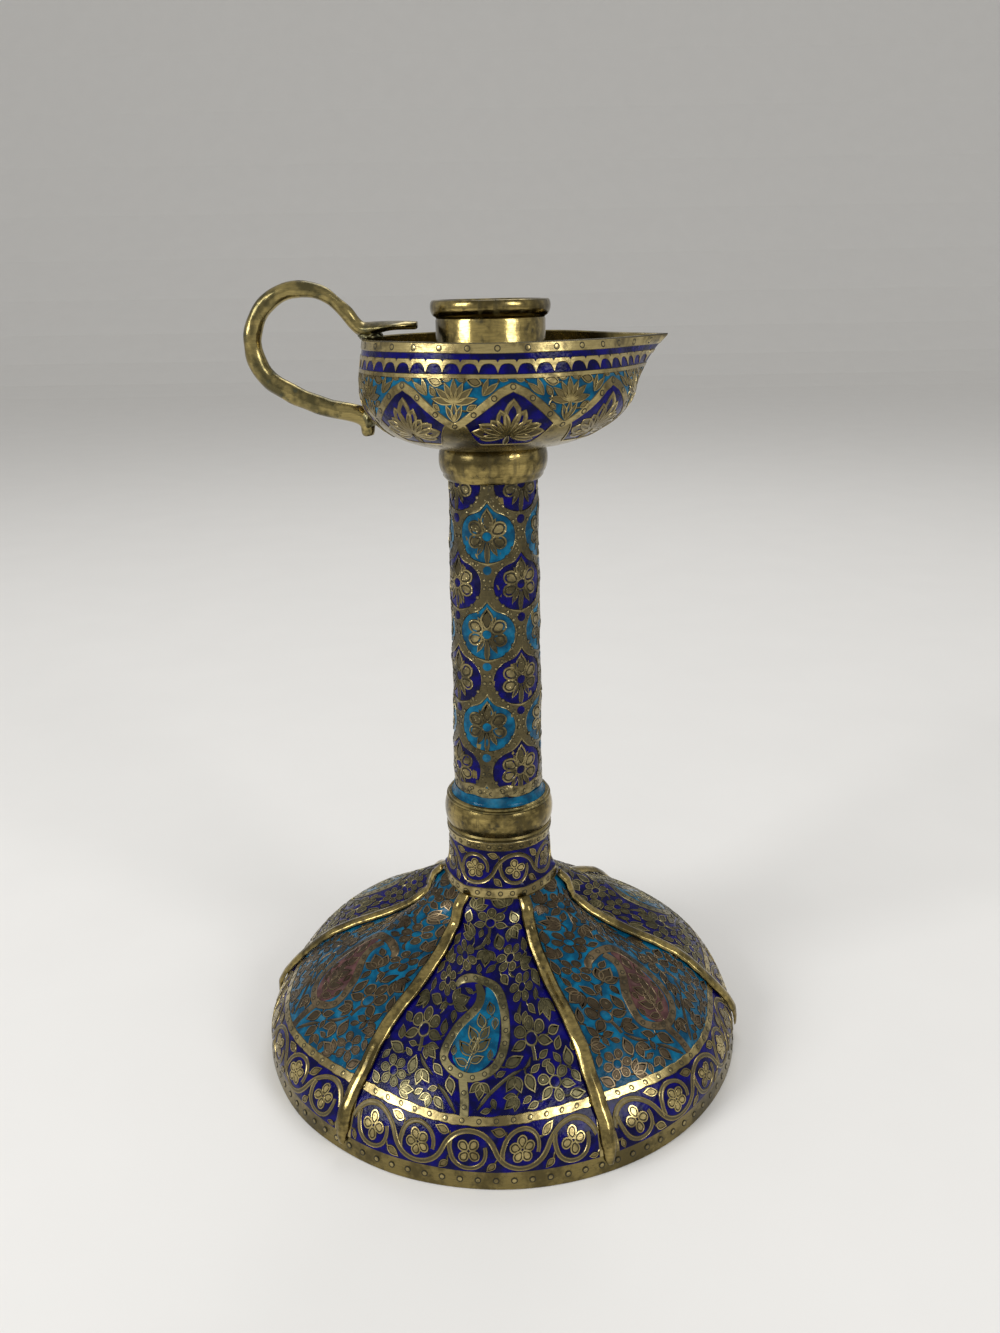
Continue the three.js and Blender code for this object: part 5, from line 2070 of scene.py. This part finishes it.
@dataclass
class Bowl(SubAssembly):
    """The bowl with its drawn spout, the candle socket in it and the forged handle.

    Attributes:
        shape: The bowl.
        sheet: Thickness of its wall, in millimetres.
        compartments: Number of peaks of the zigzag band.
        first_peak: Azimuth of the first peak, in degrees.
        socket_radius: Radius of the candle socket.
        socket_wall: Thickness of its wall.
        socket_top: Height of its rim above the table.
        lip: How far the lip stands out.
        lip_height: Height of the lip.
        arm: Place at which the arm of the handle meets the wall.
        rim_band: Height of the foot of the band under the rim, above the table.
        arch_top: Height of the top of the arches under it.
        line_top: Height of the top of the line under the arches.
        line_foot: Height of its foot.
    """

    shape: BowlShape = field(default_factory=BowlShape)
    sheet: float = 1.6
    compartments: int = 8
    first_peak: float = 5.5
    socket_radius: float = 15.6
    socket_wall: float = 1.5
    socket_top: float = 240.0
    lip: float = 1.35
    lip_height: float = 4.6
    arm: tuple[float, float, float] = (-35.6, 0.0, 208.0)
    rim_band: float = 227.2
    arch_top: float = 226.0
    line_top: float = 222.3
    line_foot: float = 221.0

    def build(self) -> None:
        """Builds and dresses the bowl."""
        self.surface = self.shape.surface()
        self._shell()
        self._socket()
        self._handle()
        self._solder()
        self._enamel()
        self._ornament()

    def _shell(self) -> None:
        """Raises the bowl from sheet."""
        rim = self.shape.base + self.shape.depth
        floor = self.shape.base + self.sheet
        outer = [(r - 0.05, z) for r, z in self.surface.points[:-1]]
        edge, back = self.shape.rim_radius, self.shape.rim_radius - self.sheet
        lip = [(edge - 0.05, rim - 0.3), (edge - 0.3, rim), (back + 0.3, rim), (back, rim - 0.3)]
        inner = [(r, max(z, floor)) for r, z in self.surface.inner(self.sheet) if z < rim - 0.5]
        section = [(7.0, self.shape.base), *outer, *lip, *reversed(inner), (7.0, floor)]
        shell = self.turned(section, 192, self.shape.reshape)
        self.finish(shell, "bowl_shell", self.palette.plain, ["bowl"])

    def _socket(self) -> None:
        """Rolls the candle socket, with its lip."""
        base, top = self.shape.base + self.sheet, self.socket_top
        bore, out = self.socket_radius - self.socket_wall, self.socket_radius + self.lip * 4 / 3
        wall, under = self.socket_radius, top - self.lip_height
        lip = bezier((wall, under), (out, top - 4.1), (out, top), (wall + 0.5, top), 14)
        crease = [(wall, under - 0.9), (wall - 0.22, under - 0.35)]
        section = [(wall, base), *crease, *lip, (bore + 0.5, top), (bore, top - 0.5), (bore, base)]
        self.finish(self.turned(section, 96), "socket", self.palette.rubbed, ["candle_socket"], "plain_brass")

    def _handle(self) -> None:
        """Forges the handle: the rod keeps the flats and dents of the hammer."""
        handle = self.carried("handle", "CATMULL_CLARK")
        points = handle.points()
        rng = random.Random(5)
        dents = np.zeros(len(points))
        for _ in range(14):
            wave = np.array([rng.uniform(-1, 1) for _ in range(3)])
            wave *= rng.uniform(0.35, 1.1) / np.linalg.norm(wave)
            dents += np.sin(points @ wave + rng.uniform(0, 6.28))
        normals = np.empty(len(points) * 3, np.float32)
        handle.body.data.vertices.foreach_get("normal", normals)
        points += normals.reshape(-1, 3) * (dents * 0.045)[:, None]
        forged = self.palette.forged
        self.finish(handle.moved(points), "handle_forged", forged, ["handle"], "plain_brass", 60.0)

    def _solder(self) -> None:
        """Runs solder into the handle's two joints, under the leaf and behind the arm."""
        lumps = []
        for place, size in (((-33.9, 0.0, 230.7), (3.5, 3.7, 1.5)), (self.arm, (2.2, 3.4, 3.6))):
            lump = Flat(Bench.start(bpy.ops.mesh.primitive_ico_sphere_add, subdivisions=4, radius=1.0))
            points = lump.points()
            coarse = 0.10 * np.sin(points @ np.array([4.1, 2.7, 3.3]))
            fine = 0.06 * np.sin(points @ np.array([-7.3, 6.1, 5.2]))
            points *= (1.0 + coarse + fine)[:, None]
            lumps.append(lump.moved(points * np.array(size) + np.array(place)))
        self.finish(Flat.joined(lumps), "handle_solder", self.palette.solder, slot="plain_brass")

    def _zigzag(self, azimuth: Array) -> Array:
        """Length up the bowl of the middle of the zigzag band, at azimuths in degrees.

        Args:
            azimuth: The azimuths.

        Returns:
            The lengths.
        """
        step = 360.0 / self.compartments
        turned = (azimuth - self.first_peak) / step
        turned = np.abs(turned - np.round(turned)) * 2.0
        rounded = np.sqrt((1.0 - turned) ** 2 + 0.004)
        rounded = rounded - np.maximum(0.0, 0.22 - turned) * 0.42
        return 22.2 + 12.9 * rounded

    def _hollow(self, azimuth: Array) -> Array:
        """Length up the bowl of the lower edge of the cobalt compartments.

        Args:
            azimuth: Azimuths, in degrees.

        Returns:
            The lengths.
        """
        step = 360.0 / self.compartments
        turned = (azimuth - self.first_peak) / step
        turned = np.abs(turned - np.round(turned)) * 2.0
        edge = 14.2 + 9.8 * smooth_step(turned, 0.50, 0.86)
        return np.minimum(edge, self._zigzag(azimuth) - 0.2)

    def _enamel(self) -> None:
        """Lays the enamel: cobalt below the zigzag and under the rim, turquoise between them."""
        line, rim = self.surface.at_height(self.line_foot + 0.8), self.surface.at_height(self.rim_band + 0.2)
        lower = self.glazed(self.surface, (-180, 180), self._hollow, self._zigzag, 288, 14)
        upper = self.glazed(self.surface, (-180, 180), line, rim, 240, 5)
        self.finish(Flat.joined([lower, upper]), "bowl_cobalt", self.palette.cobalt)
        middle = self.glazed(self.surface, (-180, 180), self._zigzag, line, 288, 10)
        self.finish(middle, "bowl_turquoise", self.palette.turquoise)

    def _valley(self, pitch: float, ceiling: float) -> Drawing:
        """Draws the leaves and vines of one turquoise field, between two peaks of the zigzag band.

        Args:
            pitch: Distance from one peak to the next, in millimetres.
            ceiling: Length up the bowl at which the field ends.

        Returns:
            The drawing.
        """
        drawing, garden = Drawing(), self.garden
        for place, reeds in (
            ((0.0, 24.4), ((-24, 1.1), (24, 1.1), (0, 1.2))),
            ((0.0, 29.6), ((0, 1.3), (26, 1.2), (-26, 1.2), (52, 1.3), (-52, 1.3), (78, 1.3), (-78, 1.3))),
            ((-7.6, 31.6), ((20, 0.95), (52, 1.1))),
            ((7.6, 31.6), ((-20, 0.95), (-52, 1.1))),
        ):
            drawing.brass(*[garden.reed.copied(*place, angle, length) for angle, length in reeds])
        peak = self.first_peak / 45.0

        def free(x: Array, y: Array) -> Array:
            """Distance of places to the zigzag band and the line.

            Args:
                x: Places across.
                y: Places along.

            Returns:
                The distances.
            """
            degrees = ((x / pitch + 0.5 + peak) * 45.0).ravel()
            above = (y - self._zigzag(degrees).reshape(y.shape) - 1.4) * 0.77
            return np.minimum(np.minimum(above, ceiling - y) + 0.35, pitch / 2 - np.abs(x))

        room = Room((-pitch / 2, 22.0), (pitch / 2, ceiling), free)
        drawing.fill(garden.lobed, room, 0.24, (4.8, 4.0), 0.44)
        drawing.fill(garden.blade, room, 0.24, (4.6, 3.9, 3.2, 2.6))
        return drawing.sealed()

    def _ornament(self) -> None:
        """Bends the bands, scallops, palmettes and sprays onto the bowl."""
        around = 2.0 * math.pi * self.surface.unroll_radius
        stations = np.linspace(-around / 2, around / 2, 481)
        azimuths = stations / around * 360.0
        drawing = Drawing()
        at = self.surface.at_height
        band, line = at(self.rim_band), at(self.line_top)
        rim = (band + self.surface.end) / 2
        drawing.brass(BAND.hooped(stations[::2], rim, (self.surface.end - band) / 2))
        drawing.brass(RIDGE.hooped(stations[::2], (line + at(self.line_foot)) / 2, 0.72))
        zigzag = np.column_stack([stations, self._zigzag(azimuths)])
        drawing.brass(BAND.swept(zigzag, 1.3, False, False))
        lower = np.minimum(self._hollow(azimuths) - 0.4, self._zigzag(azimuths) - 0.9)
        drawing.brass(RIDGE.hooped(stations, lower, 0.6).moved_up(-0.04))
        arches = 50
        fine = np.linspace(-around / 2, around / 2, arches * 14 + 1)
        phase = (np.arange(arches * 14 + 1) % 14 - 7) / 7.0
        arch = line + 2.4 * np.clip(1.0 - np.abs(phase / 0.92) ** 2.7, 0.0, 1.0) ** 0.5
        top = at(self.arch_top) - 0.7 * np.maximum(0.0, 1.0 - (1.0 - np.abs(phase)) * 6.0)
        drawing.brass(RIDGE.hooped(fine, (arch + top) / 2, (top - arch) / 2))
        garden = self.garden
        for k in range(31):
            drawing.brass(garden.dot.copied((k - 15) * around / 31, rim, scale=0.9))
        pitch = around / self.compartments
        valley = self._valley(pitch, at(221.6))
        for k in range(self.compartments):
            middle = (k - self.compartments / 2 + self.first_peak / 45.0) * pitch
            middle -= around * round(middle / around)
            for share in (0.0, 0.16, 0.33, 0.5, 0.67, 0.84):
                place = middle + share * pitch
                height = float(self._zigzag(np.array([place / around * 360.0]))[0])
                drawing.brass(garden.dot.copied(place, height, scale=0.85))
            for angle, length in ((0, 2.35), (20, 1.9), (41, 1.6), (60, 1.9), (78, 2.1), (97, 1.6)):
                for side in (-1, 1) if angle else (1,):
                    drawing.brass(garden.spoon.spoke(side * angle, 0.7, length, middle, 18.6))
            drawing.vine([(middle, 13.4), (middle, 16.0), (middle, 19.2)], 1.1)
            drawing.stamp(valley, middle + pitch / 2, 0.0)
        valley.discarded()
        ornament = drawing.sealed().bent(self.surface, (0.0, 1))[Finish.BRASS][0]
        Bench.heal(ornament.body)
        self.finish(ornament, "bowl_ornament", self.palette.bright)
        drawing.discarded()


# Studio


@dataclass
class Studio:
    """A plain pale floor and backdrop, soft light, and the camera at the photograph's angle.

    Attributes:
        palette: The finishes.
        place: Place of the camera, in metres.
        pitch: Angle by which the camera looks down, in degrees.
        yaw: Angle by which it turns to the right.
        roll: Angle by which it leans.
        lens: Focal length for a frame 36 mm high.
    """

    palette: Palette
    place: tuple[float, float, float] = (0.0, -0.32967, 0.24405)
    pitch: float = 19.06
    yaw: float = 0.192
    roll: float = 0.92
    lens: float = 29.934

    def build(self) -> None:
        """Sets the stage, the lamps and the camera."""
        self._stage()
        self._lamps()
        self._camera()
        bpy.context.scene.view_settings.view_transform = "Standard"

    def _stage(self) -> None:
        """Rolls out the paper: a floor that sweeps up behind the lamp."""
        body = Bench.start(bpy.ops.mesh.primitive_plane_add, size=8.0, location=(0.0, 0.0, -0.0003))
        Bench.pick(body, "EDGE", lambda edge: all(body.data.vertices[v].co.y > 0 for v in edge.vertices))
        bpy.ops.mesh.extrude_region_move(TRANSFORM_OT_translate={"value": (0, 0, 5.0)})
        Bench.close()
        Bench.modify(body, "BEVEL", width=1.6, segments=12)
        Bench.take(body)
        bpy.ops.object.transform_apply(location=True)
        body.name = "paper_sweep"
        body.data.materials.append(self.palette.paper)

    def _lamps(self) -> None:
        """Hangs three soft lamps and fills the room with pale light."""
        for name, place, size, power in (
            ("key", (-0.98, -0.62, 0.72), 0.5, 10.0),
            ("fill", (0.82, -0.78, 0.70), 0.45, 6.0),
            ("back", (0.15, 0.75, 1.15), 0.6, 3.5),
        ):
            bpy.ops.object.light_add(type="AREA", location=place)
            lamp = bpy.context.object
            lamp.name = f"{name}_lamp"
            lamp.data.size = size
            lamp.data.energy = power
            aim = Vector((0.0, 0.0, 0.11)) - Vector(place)
            lamp.rotation_euler = aim.to_track_quat("-Z", "Y").to_euler()
        world = bpy.data.worlds.new("room")
        bpy.context.scene.world = world
        world.use_nodes = True
        nodes = Nodes(world.node_tree)
        kinds = ("Is Camera Ray", "Is Glossy Ray", "Is Transmission Ray")
        seen, glossy, clear = (nodes.node("ShaderNodeLightPath", {}, {}, kind) for kind in kinds)
        rays = seen.either(glossy).either(clear)
        level = nodes.node("ShaderNodeMapRange", {}, {"Value": rays, "To Min": 0.52, "To Max": 0.64})
        sky = next(node for node in nodes.tree.nodes if node.type == "BACKGROUND")
        nodes.feed(sky, {"Color": (1.0, 0.99, 0.97, 1.0), "Strength": level})

    def _camera(self) -> None:
        """Stands the camera where the photograph was taken from."""
        bpy.ops.object.camera_add(location=self.place)
        camera = bpy.context.object
        turn = Matrix.Rotation(-math.radians(self.yaw), 4, "Z")
        tilt = Matrix.Rotation(math.radians(90.0 - self.pitch), 4, "X")
        lean = Matrix.Rotation(-math.radians(self.roll), 4, "Z")
        camera.rotation_euler = (turn @ tilt @ lean).to_euler()
        camera.data.sensor_fit = "VERTICAL"
        camera.data.sensor_height = 36.0
        camera.data.lens = self.lens
        camera.data.clip_start = 0.01
        bpy.context.scene.camera = camera


def dress_hidden(palette: Palette) -> None:
    """Gives the turned parts inside the lamp their finish.

    Args:
        palette: The finishes.
    """
    for name in ("neck_bush", "stem_foot_screw", "stem_head_nut", "socket_floor"):
        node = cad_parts[name]
        node.data.materials.clear()
        node.data.materials.append(palette.hidden)
        LOG.info("%s: finished", name)


def main() -> None:
    """Builds the lamp, piece by piece, and its studio."""
    logging.basicConfig(level=logging.INFO, format="%(message)s")
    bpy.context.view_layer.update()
    palette = Palette()
    garden = Garden()
    Foot(palette, garden).build()
    Neck(palette, garden).build()
    Stem(palette, garden).build()
    Bowl(palette, garden).build()
    garden.tidied()
    dress_hidden(palette)
    Studio(palette).build()


if __name__ == "__main__":
    main()
